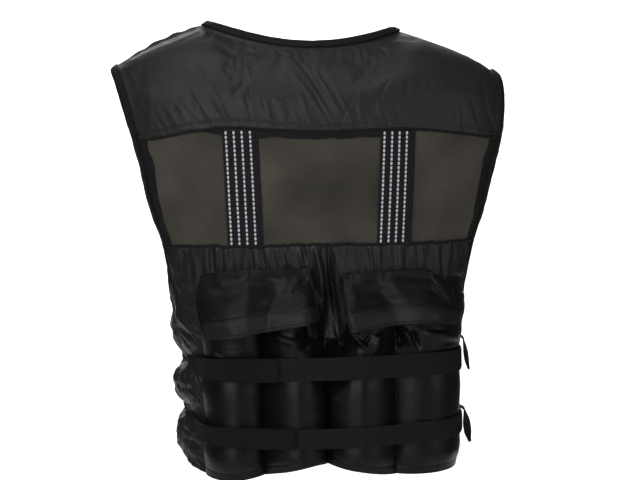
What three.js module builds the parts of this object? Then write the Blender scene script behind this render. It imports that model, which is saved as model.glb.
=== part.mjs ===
// Weighted training vest in its worn shape: a padded yoke over the shoulders, a mesh back with two
// reflective webbing strips, a gathered lower back that carries two double weight pockets with flaps,
// two elastic belts round the waist, and bound neck and armholes. The front is a plain pull-over front.
// Millimetres. +Z is up, +Y the wearer's front, +X the wearer's right. The origin is where the vest
// sits: midway between the shoulders, at the height of the shoulder straps.
import * as THREE from "three";

const rad = THREE.MathUtils.degToRad;
const deg = THREE.MathUtils.radToDeg;
const { clamp, lerp, smoothstep } = THREE.MathUtils;

// Driving dimensions.
const CLOTH = 1.0; // half the thickness of a lined satin panel
const MESH_CLOTH = 0.5; // half the thickness of the mesh
const GAP = 0.3; // clearance between pieces that touch
const BINDING_WIDTH = 9;
const YOKE_SKIN = 2.2; // a yoke's outside and inside at its seams, off its middle surface
const YOKE_LINING = 1.8;
const YOKE_PUFF = 5; // how far the padded yoke swells outwards
const YOKE_FULLNESS = 0.42; // how far each column runs straight on from its ends, as a share of its length
const SEAM_Z = -228; // seam between the mesh and the gathered lower back
const UNDERARM_DROP = 57; // the armhole's round bottom, below that seam
const UNDERARM_Z = SEAM_Z - UNDERARM_DROP;
const ROUNDNESS = 2.6; // exponent of the torso's cross-section
const FRONT_SEAM_Z = -125;
const BACK_EDGE_ROWS = 4; // rows along the mesh's and the front's armhole edges
const FRONT_EDGE_ROWS = 3;
const SIDE_SEAM = 0.998; // where the back and front panels end beside the side seams
const NECK_FROM = 0.24; // the share of the yokes' width that lies left of the neck hole
const NECK_TO = 0.74;
const NECK_TURN = 30; // how far the yokes' columns turn towards the neck, in degrees
const NECK_CLIMB = { back: 1.5, front: 2.2 }; // how steeply the cloth rises to the neck's middle
const SHOULDER_SLOPE = 0.5;
const SHOULDER_ARCH = 4;
const YOKE_EDGE = 0.002; // the share of a yoke's length left free at its seams
const WEBBING_WIDTH = 38;
const WEBBING_THICKNESS = 1.3;
const BELT_WIDTH = 25;
const BELT_THICKNESS = 2;
const BELT_OFF = 0.5; // clearance under a belt
const BELT_MARGIN = 3; // clearance above and below a belt
const BELT_PINCH = 0.45; // how much narrower the belts are where they pinch the left side
const BELT_PRESS = 2.5; // how deep a belt sinks into the filled columns
const TAB_THICKNESS = 1.8;
const TAIL_WIDTH = 23;
const TAIL_THICKNESS = 1.8;
const BELT_STEP = 13; // longest straight step along a belt
const COLUMN_THICKNESS = 23; // a filled weight column, off the back panel
const GROOVE_THICKNESS = 9; // the stitched groove between two columns
const POCKET_SKIN = 2.5; // a pocket's thickness at its seams
const POCKET_FOOT = { from: -480, to: -455, share: 0.6 }; // the columns narrow towards the hem
const POCKET_MOUTH = { height: 34, share: 0.15 }; // and towards the mouth
const POCKET_TOP_Z = -268.3;
const FLAP_THICKNESS = 2;
const FLAP_SAG = 0.12; // how far a flap follows the groove that it bridges
const COLUMN_ROUND = 0.55; // below 1 makes the columns' tops broader
const FLAP_STAND = 4; // how far a flap's lower edge stands off its pocket
const GATHER_DEPTH = 1.4;
const GATHERS = 21; // folds round the whole torso at the gathered seam

// The torso's cross-section by height: half widths to the left and right, depths behind and in front.
const TORSO = [
  { z: -490, left: 150, right: 147, back: 99, front: 98 },
  { z: -445, left: 152, right: 149, back: 101, front: 101 },
  { z: -410, left: 149, right: 150, back: 100, front: 103 },
  { z: -382, left: 153, right: 151, back: 100, front: 105 },
  { z: -353, left: 148, right: 150, back: 99, front: 107 },
  { z: -320, left: 156, right: 154, back: 100, front: 111 },
  { z: -285, left: 163, right: 162, back: 102, front: 115 },
  { z: -228, left: 173, right: 176, back: 106, front: 119 },
  { z: -170, left: 195, right: 198, back: 113, front: 122 },
  { z: -108, left: 213, right: 216, back: 117, front: 118 },
  { z: -80, left: 222, right: 224, back: 116, front: 112 },
];

// Where the panels end at the armholes, inside the binding, as distances from the middle.
const ARMHOLE = [
  { z: -228, left: 165, right: 168 },
  { z: -200, left: 172, right: 175 },
  { z: -170, left: 178, right: 181 },
  { z: -140, left: 183, right: 188 },
  { z: -110, left: 191, right: 195 },
];

// The seam under the back yoke, across the back: -1 is the left armhole and 1 the right one.
const YOKE_SEAM = [
  { across: -1, z: -113 },
  { across: -0.66, z: -102 },
  { across: -0.3, z: -105 },
  { across: 0, z: -107 },
  { across: 0.6, z: -106 },
  { across: 1, z: -115 },
];

// The hem all the way round, by the angle from the middle of the back.
const HEM = [
  { angle: -180, z: -462 },
  { angle: -120, z: -460 },
  { angle: -90, z: -460 },
  { angle: -72, z: -472 },
  { angle: -50, z: -480 },
  { angle: -28, z: -471 },
  { angle: -6, z: -463 },
  { angle: 14, z: -470 },
  { angle: 36, z: -478 },
  { angle: 62, z: -478 },
  { angle: 90, z: -472 },
  { angle: 130, z: -462 },
  { angle: 180, z: -462 },
];

// The shoulder line, where the back and front yokes are sewn together: its armhole ends, and how the
// cloth climbs forward over it.
const SHOULDERS = {
  left: { tipX: -215, tipZ: -31, seamY: -6, rise: 0.1 },
  right: { tipX: 203, tipZ: -38, seamY: 0, rise: 0 },
};

// The neck hole at the panels' edge: an oval in plan that dips behind and in front.
const NECK = { x: -13, y: -3, z: 12, tilt: 4, halfWidth: 110, back: 62, front: 92, backDip: 25, frontDip: 88 };

// Soft bulges of the left side between the belts, which pinch it.
const BULGE_SPREAD = 13;
const SIDE_BULGES = [
  { angle: -92, z: -320, out: 9, spread: 17 },
  { angle: -92, z: -382, out: 9, spread: 15 },
  { angle: -92, z: -440, out: 7, spread: 17 },
];

// Weight pockets across the back panel: outer edge, stitched groove and inner edge.
const POCKETS = {
  left: { outer: -0.7, groove: -0.395, inner: -0.013 },
  right: { outer: 0.86, groove: 0.43, inner: 0.013 },
};

// Pocket flaps: angles and heights of the top and bottom edges, from left to right.
const FLAPS = {
  left: [
    { u: 0, top: -65, topZ: -257, bottom: -54, bottomZ: -326 },
    { u: 0.5, top: -36, topZ: -253, bottom: -30, bottomZ: -318 },
    { u: 1, top: -9, topZ: -251, bottom: -3, bottomZ: -309 },
  ],
  right: [
    { u: 0, top: 9, topZ: -259, bottom: 13, bottomZ: -320 },
    { u: 0.4, top: 28, topZ: -258, bottom: 31, bottomZ: -321 },
    { u: 0.8, top: 49, topZ: -259, bottom: 50, bottomZ: -322 },
    { u: 1, top: 61, topZ: -272, bottom: 61, bottomZ: -320 },
  ],
};

// Heights of the panels' rows below the underarm. The lowest ends at the hem.
const LEVELS = [-500, -447, -432.5, -418, -404, -389, -374, -359.5, -345, -328, -305];

// Reflective webbing strips: middle of the top and bottom ends.
const STRIPS = {
  left: { topX: -89, topZ: -105, bottomX: -84 },
  right: { topX: 80, topZ: -108, bottomX: 75 },
};

// The belts' middle heights round the waist. They climb towards the sides.
const BELTS = {
  upper: [
    { angle: -180, z: -352 },
    { angle: -90, z: -353 },
    { angle: -65, z: -357 },
    { angle: -40, z: -359.5 },
    { angle: 0, z: -359.5 },
    { angle: 60, z: -358.5 },
    { angle: 90, z: -356 },
    { angle: 180, z: -352 },
  ],
  lower: [
    { angle: -180, z: -409 },
    { angle: -90, z: -411 },
    { angle: -72, z: -421 },
    { angle: -55, z: -429 },
    { angle: -25, z: -433 },
    { angle: 0, z: -434 },
    { angle: 35, z: -432.5 },
    { angle: 60, z: -430 },
    { angle: 90, z: -423 },
    { angle: 180, z: -409 },
  ],
};

// The hook tabs that close the belts lie between these distances across the back.
const TABS = {
  upper: { from: -140, to: -52 },
  lower: { from: -140, to: -35 },
};

const TAILS = {
  upper: { top: -337, bottom: -378, lean: 8, y: -8 },
  lower: { top: -417, bottom: -461, lean: 8, y: -8 },
};

// A binding's section: distance out from the panel's edge, and height off the cloth.
const BINDING_SECTION = [
  { out: GAP, up: -1.9 },
  { out: GAP, up: 2.5 },
  { out: 0.7 * BINDING_WIDTH, up: 2.7 },
  { out: BINDING_WIDTH, up: 1.2 },
  { out: BINDING_WIDTH, up: -0.8 },
  { out: 0.7 * BINDING_WIDTH, up: -2.1 },
];

const FINISHES = {
  satin: { color: "#2b2b2c", roughness: 0.42, metalness: 0 },
  pocketSatin: { color: "#161617", roughness: 0.38, metalness: 0 },
  mesh: { color: "#3a3732", roughness: 0.9, metalness: 0 },
  binding: { color: "#17191a", roughness: 0.8, metalness: 0 },
  webbing: { color: "#14131a", roughness: 0.8, metalness: 0 },
  elastic: { color: "#151515", roughness: 0.9, metalness: 0 },
};

// A smooth function through one column of a table.
function through(table, key, value) {
  const curve = new THREE.CubicInterpolant(
    table.map((row) => row[key]),
    table.map((row) => row[value]),
    1,
  );
  const [low, high] = [table[0][key], table.at(-1)[key]];
  return (t) => curve.evaluate(clamp(t, low, high))[0];
}

const torsoColumn = (name) => through(TORSO, "z", name);
const width = { left: torsoColumn("left"), right: torsoColumn("right") };
const depth = { back: torsoColumn("back"), front: torsoColumn("front") };
const armholeX = { left: through(ARMHOLE, "z", "left"), right: through(ARMHOLE, "z", "right") };
const yokeSeamZ = through(YOKE_SEAM, "across", "z");
const hemZ = through(HEM, "angle", "z");
const beltZ = { upper: through(BELTS.upper, "angle", "z"), lower: through(BELTS.lower, "angle", "z") };

const steps = (count, from = 0, to = 1) =>
  Array.from({ length: count + 1 }, (_, i) => lerp(from, to, i / count));
const sideOf = (x) => (x < 0 ? "left" : "right");
const bump = (t) => Math.exp(-t * t);

// A point of the torso. The angle is 0 at the middle of the back and 90 at the wearer's right.
function torso(angle, z) {
  const s = Math.sin(rad(angle));
  const c = Math.cos(rad(angle));
  const across = Math.abs(s) / width[sideOf(s)](z);
  const along = Math.abs(c) / depth[c > 0 ? "back" : "front"](z);
  const reach = Math.pow(across ** ROUNDNESS + along ** ROUNDNESS, -1 / ROUNDNESS);
  return new THREE.Vector3(reach * s, -reach * c, z);
}

// A place is a point with the direction out of the cloth there.
function onTorso(angle, z) {
  const point = torso(angle, z);
  const along = torso(angle + 0.01, z).sub(torso(angle - 0.01, z));
  const up = torso(angle, z + 0.01).sub(torso(angle, z - 0.01));
  return { point, normal: along.cross(up).normalize(), angle, z };
}

// How far a back or front panel reaches from its middle, in degrees, at a height.
function edgeAngle(side, face, z) {
  const straight = Math.max(z, SEAM_Z);
  const x = armholeX[side](straight);
  const share = 1 - (x / width[side](straight)) ** ROUNDNESS;
  const y = depth[face](straight) * share ** (1 / ROUNDNESS);
  const edge = deg(Math.atan2(x, y));
  const down = clamp((SEAM_Z - z) / UNDERARM_DROP, 0, 1);
  return 90 - (90 - edge) * Math.sqrt(1 - down * down);
}

// Across is -1 at a panel's left edge and 1 at its right one. Panels end at the hem.
function onPanel(face, across, z) {
  const side = sideOf(across);
  const fromMiddle = Math.abs(across) * edgeAngle(side, face, z);
  const angle = (side === "left" ? -1 : 1) * (face === "back" ? fromMiddle : 180 - fromMiddle);
  return onTorso(angle, Math.max(z, hemZ(angle)));
}

// How far the cloth stands off the torso: side bulges, and gathers that hang from the mesh seam.
function fold(angle, z) {
  const bulges = SIDE_BULGES.reduce((sum, b) => {
    return sum + b.out * bump((angle - b.angle) / BULGE_SPREAD) * bump((z - b.z) / b.spread);
  }, 0);
  const fadeTo = lerp(POCKET_TOP_Z, -345, bump(angle / 9));
  const strength = smoothstep(z, fadeTo, SEAM_Z) * (1 - smoothstep(Math.abs(angle), 62, 72));
  return bulges + GATHER_DEPTH * strength * Math.sin(rad(angle) * GATHERS);
}

// A point of the neck hole's edge. The angle is 0 behind and 180 in front.
function neckPoint(angle) {
  const s = Math.sin(rad(angle));
  const c = Math.cos(rad(angle));
  const behind = c > 0;
  return new THREE.Vector3(
    NECK.x + NECK.halfWidth * s,
    NECK.y - (behind ? NECK.back : NECK.front) * c,
    NECK.z - NECK.tilt * s - (behind ? NECK.backDip : NECK.frontDip) * c * c,
  );
}

// The top edge of a yoke, with the direction in which the cloth runs on past it.
function yokeTop(u, face) {
  const inNeck = u >= NECK_FROM && u <= NECK_TO;
  const middle = (NECK_FROM + NECK_TO) / 2;
  const angle = clamp((u - middle) / (NECK_TO - middle), -1, 1) * 90;
  const shoulder = SHOULDERS[u < middle ? "left" : "right"];
  const point = neckPoint(face === "back" ? angle : 180 - angle);
  const open = Math.cos(rad(angle));
  point.y += (1 - open) ** 3 * (shoulder.seamY - NECK.y);
  let turn = NECK_TURN * Math.sin(rad(angle));
  if (!inNeck) {
    const out = u < NECK_FROM ? (NECK_FROM - u) / NECK_FROM : (u - NECK_TO) / (1 - NECK_TO);
    const arch = SHOULDER_ARCH * Math.sin(Math.PI * out);
    point.set(lerp(point.x, shoulder.tipX, out), shoulder.seamY, lerp(point.z, shoulder.tipZ, out) + arch);
    turn *= 1 - smoothstep(out, 0, 0.9);
  }
  const forward = face === "back" ? 1 : -1;
  const climb = lerp(shoulder.rise * forward, NECK_CLIMB[face], smoothstep(open, -0.12, 1));
  const inwards = -Math.sin(rad(turn));
  const onwards = new THREE.Vector3(inwards, forward * Math.cos(rad(turn)), climb + SHOULDER_SLOPE * Math.abs(inwards));
  return { point, onwards: onwards.normalize() };
}

// A yoke is one Bezier curve per column, from its seam on the torso up to its top edge.
function yokePoint(face, u, v) {
  const across = 2 * u - 1;
  const seam = face === "back" ? yokeSeamZ(clamp(across, -1, 1)) : FRONT_SEAM_Z;
  const start = onPanel(face, across, seam).point;
  const up = onPanel(face, across, seam + 1).point.sub(onPanel(face, across, seam - 1).point).normalize();
  const { point: end, onwards } = yokeTop(u, face);
  const length = start.distanceTo(end) * YOKE_FULLNESS;
  const curve = new THREE.CubicBezierCurve3(
    start,
    start.clone().addScaledVector(up, length),
    end.clone().addScaledVector(onwards, -length),
    end,
  );
  return curve.getPoint(v);
}

function onYoke(face, u, v) {
  const e = 1e-3;
  const along = yokePoint(face, u + e, v).sub(yokePoint(face, u - e, v));
  const up = yokePoint(face, u, v + e).sub(yokePoint(face, u, v - e));
  const normal = along.cross(up).normalize();
  return { point: yokePoint(face, u, v), normal: face === "back" ? normal : normal.negate() };
}

// A closed solid between an outer and an inner grid of points, each a list of rows.
function solidBetween(outer, inner, round = false) {
  const rows = outer.length;
  const columns = outer[0].length;
  const at = (layer, row, column) => (layer * rows + row) * columns + (column % columns);
  const index = [];
  const quad = (a, b, c, d) => index.push(a, b, c, a, c, d);
  const spans = round ? columns : columns - 1;
  const [top, last] = [rows - 1, columns - 1];
  for (let i = 0; i < spans; i++) {
    for (let j = 0; j < top; j++) {
      quad(at(0, j, i), at(0, j, i + 1), at(0, j + 1, i + 1), at(0, j + 1, i));
      quad(at(1, j, i), at(1, j + 1, i), at(1, j + 1, i + 1), at(1, j, i + 1));
    }
    quad(at(0, top, i), at(0, top, i + 1), at(1, top, i + 1), at(1, top, i));
    quad(at(0, 0, i + 1), at(0, 0, i), at(1, 0, i), at(1, 0, i + 1));
  }
  for (let j = 0; !round && j < top; j++) {
    quad(at(0, j, 0), at(0, j + 1, 0), at(1, j + 1, 0), at(1, j, 0));
    quad(at(0, j + 1, last), at(0, j, last), at(1, j, last), at(1, j + 1, last));
  }
  return geometryOf([...outer.flat(), ...inner.flat()], index);
}

function geometryOf(points, index) {
  const geometry = new THREE.BufferGeometry();
  const positions = points.flatMap((p) => p.toArray());
  geometry.setAttribute("position", new THREE.Float32BufferAttribute(positions, 3));
  geometry.setIndex(index);
  geometry.computeVertexNormals();
  return geometry;
}

// The points of a surface's grid, lifted off it along its normals.
function lift(place, us, rows, height) {
  return rows.map((row) =>
    us.map((u) => {
      const here = place(u, row);
      return here.point.clone().addScaledVector(here.normal, height(here, u, row));
    }),
  );
}

function wall(place, { us, rows, outer, inner }) {
  return solidBetween(lift(place, us, rows, outer), lift(place, us, rows, inner));
}

const vest = new THREE.Group();

function add(name, geometry, finish) {
  const mesh = new THREE.Mesh(geometry, new THREE.MeshStandardMaterial(FINISHES[finish]));
  mesh.name = name;
  vest.add(mesh);
}

// Columns of the yokes, from the left armhole to the right one.
const YOKE_COLUMNS = [
  ...steps(5, 0, NECK_FROM).slice(0, -1),
  ...steps(16, NECK_FROM, NECK_TO),
  ...steps(5, NECK_TO, 1).slice(1),
];

function addYoke(face) {
  const puff = (here, u, v) => {
    const inside = Math.sin(Math.PI * u) * Math.sin(Math.PI * clamp(v, 0, 1));
    return YOKE_SKIN + YOKE_PUFF * Math.sqrt(Math.max(0, inside));
  };
  add(face + "_yoke", wall((u, v) => onYoke(face, u, v), {
    us: face === "back" ? YOKE_COLUMNS : [...YOKE_COLUMNS].reverse(),
    rows: steps(7, YOKE_EDGE, 1 - YOKE_EDGE),
    outer: puff,
    inner: () => -YOKE_LINING,
  }), "satin");
}

function addBackMesh() {
  const place = (across, v) => onPanel("back", across, lerp(SEAM_Z + GAP, yokeSeamZ(across) - GAP, v));
  add("back_mesh", wall(place, {
    us: steps(20, -1, 1),
    rows: steps(BACK_EDGE_ROWS),
    outer: () => MESH_CLOTH,
    inner: () => -MESH_CLOTH,
  }), "mesh");
}

// Rows round the underarm's curve, from its bottom up to the seam.
const UNDERARM_ROWS = steps(6).map((t) => SEAM_Z - GAP - (UNDERARM_DROP - GAP) * Math.cos((Math.PI / 2) * t));

// Columns across half a panel and its pockets, as shares of the panel's half width.
function panelColumns(side) {
  const { outer, groove, inner } = POCKETS[side];
  return [
    ...steps(8, inner, groove).slice(0, -1),
    ...steps(8, groove, outer).slice(0, -1),
    ...steps(3, outer, side === "left" ? -SIDE_SEAM : SIDE_SEAM),
  ];
}

const BACK_COLUMNS = [...panelColumns("left").reverse(), 0, ...panelColumns("right")];
const FRONT_COLUMNS = steps(18, SIDE_SEAM, -SIDE_SEAM);

const onBack = (across, z) => onPanel("back", across, z);
const onFront = (across, z) => onPanel("front", across, z);
const panelSkin = ({ angle, z }) => CLOTH + fold(angle, z);
const panelLining = ({ angle, z }) => fold(angle, z) - CLOTH;

function addPanels() {
  const rows = [...LEVELS, ...UNDERARM_ROWS];
  const upperRows = steps(FRONT_EDGE_ROWS, SEAM_Z, FRONT_SEAM_Z - GAP).slice(1);
  add("back_panel", wall(onBack, {
    us: BACK_COLUMNS,
    rows,
    outer: panelSkin,
    inner: panelLining,
  }), "satin");
  add("front_panel", wall(onFront, {
    us: FRONT_COLUMNS,
    rows: [...rows, ...upperRows],
    outer: panelSkin,
    inner: panelLining,
  }), "satin");
}

// The rounding of a pocket's two filled columns, from 0 at a seam to 1. Cloth that hangs over both
// columns sags between their middles by only the share given.
function columnCrown({ outer, groove, inner }, across, sag = 1) {
  const edge = Math.abs(across) > Math.abs(groove) ? outer : inner;
  const share = clamp((across - edge) / (groove - edge), 0, 1);
  const crown = Math.sin(Math.PI * share) ** COLUMN_ROUND;
  return share > 0.5 ? lerp(1, crown, sag) : crown;
}

const POCKET_TAPER_Z = POCKET_TOP_Z - POCKET_MOUTH.height;
const mouthTaper = (z) => lerp(1, POCKET_MOUTH.share, smoothstep(z, POCKET_TAPER_Z, POCKET_TOP_Z));
const footTaper = (z) => lerp(POCKET_FOOT.share, 1, smoothstep(z, POCKET_FOOT.from, POCKET_FOOT.to));

// A pocket's thickness: two filled columns, pressed in a little by the belts and thin at the mouth.
function pocketThickness(pocket, across, z) {
  const atGroove = GROOVE_THICKNESS * bump(((across - pocket.groove) * 90) / 6);
  const underBelt = (name) => bump((z - beltZ[name](across * 90)) / 15);
  const pressed = BELT_PRESS * (underBelt("upper") + underBelt("lower"));
  const filled = (COLUMN_THICKNESS - pressed) * columnCrown(pocket, across);
  return POCKET_SKIN + Math.max(atGroove, filled) * footTaper(z) * mouthTaper(z);
}

const pocketFloor = (here) => panelSkin(here) + GAP;

function pocketGrid(side) {
  const pocket = POCKETS[side];
  const us = panelColumns(side).slice(0, 17);
  if (side === "left") us.reverse();
  const rows = [...LEVELS, ...UNDERARM_ROWS].filter((z) => z <= POCKET_TOP_Z);
  const outer = (here, across) => pocketFloor(here) + pocketThickness(pocket, across, here.z);
  return { us, rows, outer, inner: pocketFloor };
}

// The taut line round a set of points: their convex outline, in steps of at most a given length.
function tautRound(points, longest) {
  const cross = (o, a, b) => (a.x - o.x) * (b.y - o.y) - (a.y - o.y) * (b.x - o.x);
  const half = (list) => {
    const hull = [];
    for (const p of list) {
      while (hull.length > 1 && cross(hull.at(-2), hull.at(-1), p) <= 0) hull.pop();
      hull.push(p);
    }
    return hull.slice(0, -1);
  };
  const sorted = points.map((p) => new THREE.Vector2(p.x, p.y)).sort((a, b) => a.x - b.x || a.y - b.y);
  const hull = [...half(sorted), ...half([...sorted].reverse())];
  return hull.flatMap((a, i) => {
    const b = hull[(i + 1) % hull.length];
    const count = Math.ceil(a.distanceTo(b) / longest);
    return steps(count).slice(0, -1).map((t) => a.clone().lerp(b, t));
  });
}

// The outline moved outwards by a distance, with its corners kept.
function outwards(outline, distance) {
  const out = (a, b) => new THREE.Vector2(b.y - a.y, a.x - b.x).normalize();
  return outline.map((p, i) => {
    const before = out(outline.at(i - 1), p);
    const after = out(p, outline[(i + 1) % outline.length]);
    const corner = before.clone().add(after).multiplyScalar(1 / (1 + before.dot(after)));
    return p.clone().addScaledVector(corner, distance);
  });
}

const angleOf = (p) => deg(Math.atan2(p.x, -p.y));
const beltTaper = (p) => 1 - BELT_PINCH * bump((angleOf(p) + 92) / 26);

// A grid with more rows, each on the straight line between its neighbours.
const denser = (grid) => grid.slice(1).flatMap((row, j) =>
  steps(6).map((t) => row.map((p, i) => grid[j][i].clone().lerp(p, t))),
);

// A belt goes round every point of the panels and pockets that lies between its edges.
function beltOutline(height) {
  const rows = LEVELS.slice(1);
  const pockets = ["left", "right"].map((side) => {
    const { us, outer } = pocketGrid(side);
    return lift(onBack, us, rows, outer);
  });
  const back = lift(onBack, BACK_COLUMNS, rows, panelSkin);
  const front = lift(onFront, FRONT_COLUMNS, rows, panelSkin);
  const points = [...pockets, back, front].flatMap(denser).flat();
  const halfWidth = (p) => (BELT_WIDTH / 2) * beltTaper(p) + BELT_MARGIN;
  return tautRound(points.filter((p) => Math.abs(p.z - height(angleOf(p))) < halfWidth(p)), BELT_STEP);
}

function addBelt(name) {
  const height = beltZ[name];
  const outline = beltOutline(height);
  const over = BELT_OFF + BELT_THICKNESS;
  const ring = (distance, halfWidth, keep) => {
    const points = outwards(outline, distance).filter((_, i) => keep(outline[i]));
    const at = (dz) => (p) => new THREE.Vector3(p.x, p.y, height(angleOf(p)) + dz * beltTaper(p));
    return [points.map(at(-halfWidth)), points.map(at(halfWidth))];
  };
  const whole = (distance) => ring(distance, BELT_WIDTH / 2, () => true);
  add("belt_" + name, solidBetween(whole(over), whole(BELT_OFF), true), "elastic");
  // The hook end that closes the belt lies on it, over the left pocket.
  const onTab = (p) => p.y < 0 && p.x > TABS[name].from && p.x < TABS[name].to;
  const tab = (distance) => ring(distance, BELT_WIDTH / 2 + 0.5, onTab);
  add("belt_tab_" + name, solidBetween(tab(over + GAP + TAB_THICKNESS), tab(over + GAP)), "elastic");
  // The strap's loose end hangs over the belt at the right side and sticks out at the bottom.
  const tail = TAILS[name];
  const besides = outwards(outline, over).filter((p) => Math.abs(p.y - tail.y) < TAIL_WIDTH / 2 + 3);
  const x = Math.max(...besides.map((p) => p.x)) + GAP + TAIL_THICKNESS / 2;
  const place = (u, v) => ({
    point: new THREE.Vector3(
      x + tail.lean * (1 - v) ** 1.6,
      tail.y + (u - 0.5) * TAIL_WIDTH,
      lerp(tail.bottom, tail.top, v),
    ),
    normal: new THREE.Vector3(1, 0, 0),
  });
  add("strap_tail_" + name, wall(place, {
    us: steps(2),
    rows: steps(5),
    outer: () => TAIL_THICKNESS / 2,
    inner: () => -TAIL_THICKNESS / 2,
  }), "elastic");
}

// A flap is sewn on above its pocket and hangs over the filled columns, standing off at its lower edge.
function addFlap(side) {
  const table = FLAPS[side];
  const pocket = POCKETS[side];
  const column = (name) => through(table, "u", name);
  const [top, topZ, bottom, bottomZ] = ["top", "topZ", "bottom", "bottomZ"].map(column);
  const place = (u, v) => {
    const across = lerp(bottom(u), top(u), v) / 90;
    return { ...onBack(across, lerp(bottomZ(u), topZ(u), v)), across };
  };
  const clear = ({ across, z }, u, v) => {
    const filled = COLUMN_THICKNESS * columnCrown(pocket, across, FLAP_SAG) * mouthTaper(z - 8);
    const cover = (GATHER_DEPTH + POCKET_SKIN + filled) * smoothstep(POCKET_TOP_Z + 12 - z, -1, 12);
    return CLOTH + 2.5 * GAP + cover + FLAP_STAND * (1 - v);
  };
  add("pocket_flap_" + side, wall(place, {
    us: steps(10),
    rows: [0, 0.2, 0.4, 0.6, 0.75, 0.88, 1],
    outer: (here, u, v) => clear(here, u, v) + FLAP_THICKNESS,
    inner: clear,
  }), "pocketSatin");
}

function addStrip(side) {
  const strip = STRIPS[side];
  const place = (u, v) => {
    const x = lerp(strip.bottomX, strip.topX, v) + (u - 0.5) * WEBBING_WIDTH;
    const z = lerp(SEAM_Z + 1, strip.topZ, v);
    const share = 1 - (Math.abs(x) / width[sideOf(x)](z)) ** ROUNDNESS;
    const y = depth.back(z) * share ** (1 / ROUNDNESS);
    return onTorso(deg(Math.atan2(x, y)), z);
  };
  const off = MESH_CLOTH + 1.3 * GAP;
  add("reflective_strip_" + side, wall(place, {
    us: steps(4),
    rows: steps(5),
    outer: () => off + WEBBING_THICKNESS,
    inner: () => off,
  }), "webbing");
}

// A tape sewn round an opening. Seen from outside, the loop's places run with the opening on the left.
function bindingGeometry(loop) {
  const count = loop.length;
  const points = BINDING_SECTION.flatMap(({ out, up }) =>
    loop.map(({ point, normal }, i) => {
      const along = loop[(i + 1) % count].point.clone().sub(loop[(i + count - 1) % count].point);
      const outwards = normal.clone().cross(along).normalize();
      return point.clone().addScaledVector(outwards, out).addScaledVector(normal, up);
    }),
  );
  const sides = BINDING_SECTION.length;
  const index = [];
  for (let k = 0; k < sides; k++) {
    for (let i = 0; i < count; i++) {
      const [a, b] = [k * count + i, k * count + ((i + 1) % count)];
      const [d, c] = [((k + 1) % sides) * count + i, ((k + 1) % sides) * count + ((i + 1) % count)];
      index.push(a, b, c, a, c, d);
    }
  }
  return geometryOf(points, index);
}

// Both armholes: up the back edge, over the shoulder, down the front edge and round under the arm.
function armholeLoop(side) {
  const across = side === "left" ? -1 : 1;
  const u = side === "left" ? 0 : 1;
  const edge = (face, top, count) =>
    [...UNDERARM_ROWS, ...steps(count, SEAM_Z, top).slice(1, -1)].map((z) => onPanel(face, across, z));
  const yoke = (face) => steps(7).map((v) => onYoke(face, u, v));
  const loop = [
    ...edge("back", yokeSeamZ(across), BACK_EDGE_ROWS),
    ...yoke("back"),
    ...yoke("front").reverse().slice(1),
    ...edge("front", FRONT_SEAM_Z, FRONT_EDGE_ROWS).reverse().slice(0, -1),
  ];
  return side === "left" ? loop : loop.reverse();
}

function neckLoop() {
  const columns = YOKE_COLUMNS.filter((u) => u >= NECK_FROM && u <= NECK_TO);
  const back = columns.map((u) => onYoke("back", u, 1));
  const front = columns.map((u) => onYoke("front", u, 1)).reverse();
  back[0].normal.add(front.at(-1).normal).normalize();
  back.at(-1).normal.add(front[0].normal).normalize();
  return [...back, ...front.slice(1, -1)];
}

addYoke("back");
addYoke("front");
addBackMesh();
addPanels();
for (const side of ["left", "right"]) {
  add("weight_pocket_" + side, wall(onBack, pocketGrid(side)), "pocketSatin");
  addFlap(side);
  addStrip(side);
  add("armhole_binding_" + side, bindingGeometry(armholeLoop(side)), "binding");
}
add("neck_binding", bindingGeometry(neckLoop()), "binding");
addBelt("upper");
addBelt("lower");

export default vest;
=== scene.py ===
# %% [markdown]
# # A weighted vest, from its frame to its looks
# The vest is a garment that keeps the shape of the torso it was made for. Every panel is a piece of
# cloth that could be cut flat, so each one is made the same way here: a flat grid is added, its points
# are moved onto the place where that panel is sewn, small folds are added where the needle gathers the
# cloth, and at the end the grid gets its thickness. All lengths are typed in millimetres, because a
# sewing pattern is, and turned into metres when the points are written.

import math

import bpy
import numpy as np
from mathutils import Matrix, Vector


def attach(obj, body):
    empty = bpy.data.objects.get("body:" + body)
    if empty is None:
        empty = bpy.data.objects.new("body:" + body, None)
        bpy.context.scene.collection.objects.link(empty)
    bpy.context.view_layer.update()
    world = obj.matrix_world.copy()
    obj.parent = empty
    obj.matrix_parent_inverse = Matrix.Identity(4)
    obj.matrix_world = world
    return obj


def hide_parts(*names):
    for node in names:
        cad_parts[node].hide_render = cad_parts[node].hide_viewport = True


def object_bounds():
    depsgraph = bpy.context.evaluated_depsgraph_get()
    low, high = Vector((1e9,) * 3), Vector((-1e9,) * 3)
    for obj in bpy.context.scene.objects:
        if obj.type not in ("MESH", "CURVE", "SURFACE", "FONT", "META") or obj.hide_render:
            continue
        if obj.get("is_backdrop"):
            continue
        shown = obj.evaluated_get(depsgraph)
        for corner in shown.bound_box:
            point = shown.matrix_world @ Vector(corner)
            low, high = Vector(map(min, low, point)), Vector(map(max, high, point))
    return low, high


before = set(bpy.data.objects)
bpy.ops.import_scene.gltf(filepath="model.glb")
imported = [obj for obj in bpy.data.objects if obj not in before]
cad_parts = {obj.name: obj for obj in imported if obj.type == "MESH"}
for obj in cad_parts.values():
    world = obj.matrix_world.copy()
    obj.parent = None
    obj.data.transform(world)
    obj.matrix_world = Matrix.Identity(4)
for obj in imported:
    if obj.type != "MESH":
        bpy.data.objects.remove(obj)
cad_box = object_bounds()
bpy.ops.object.select_all(action="DESELECT")
MM = 0.001
print("nodes in the frame:", len(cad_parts))

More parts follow.
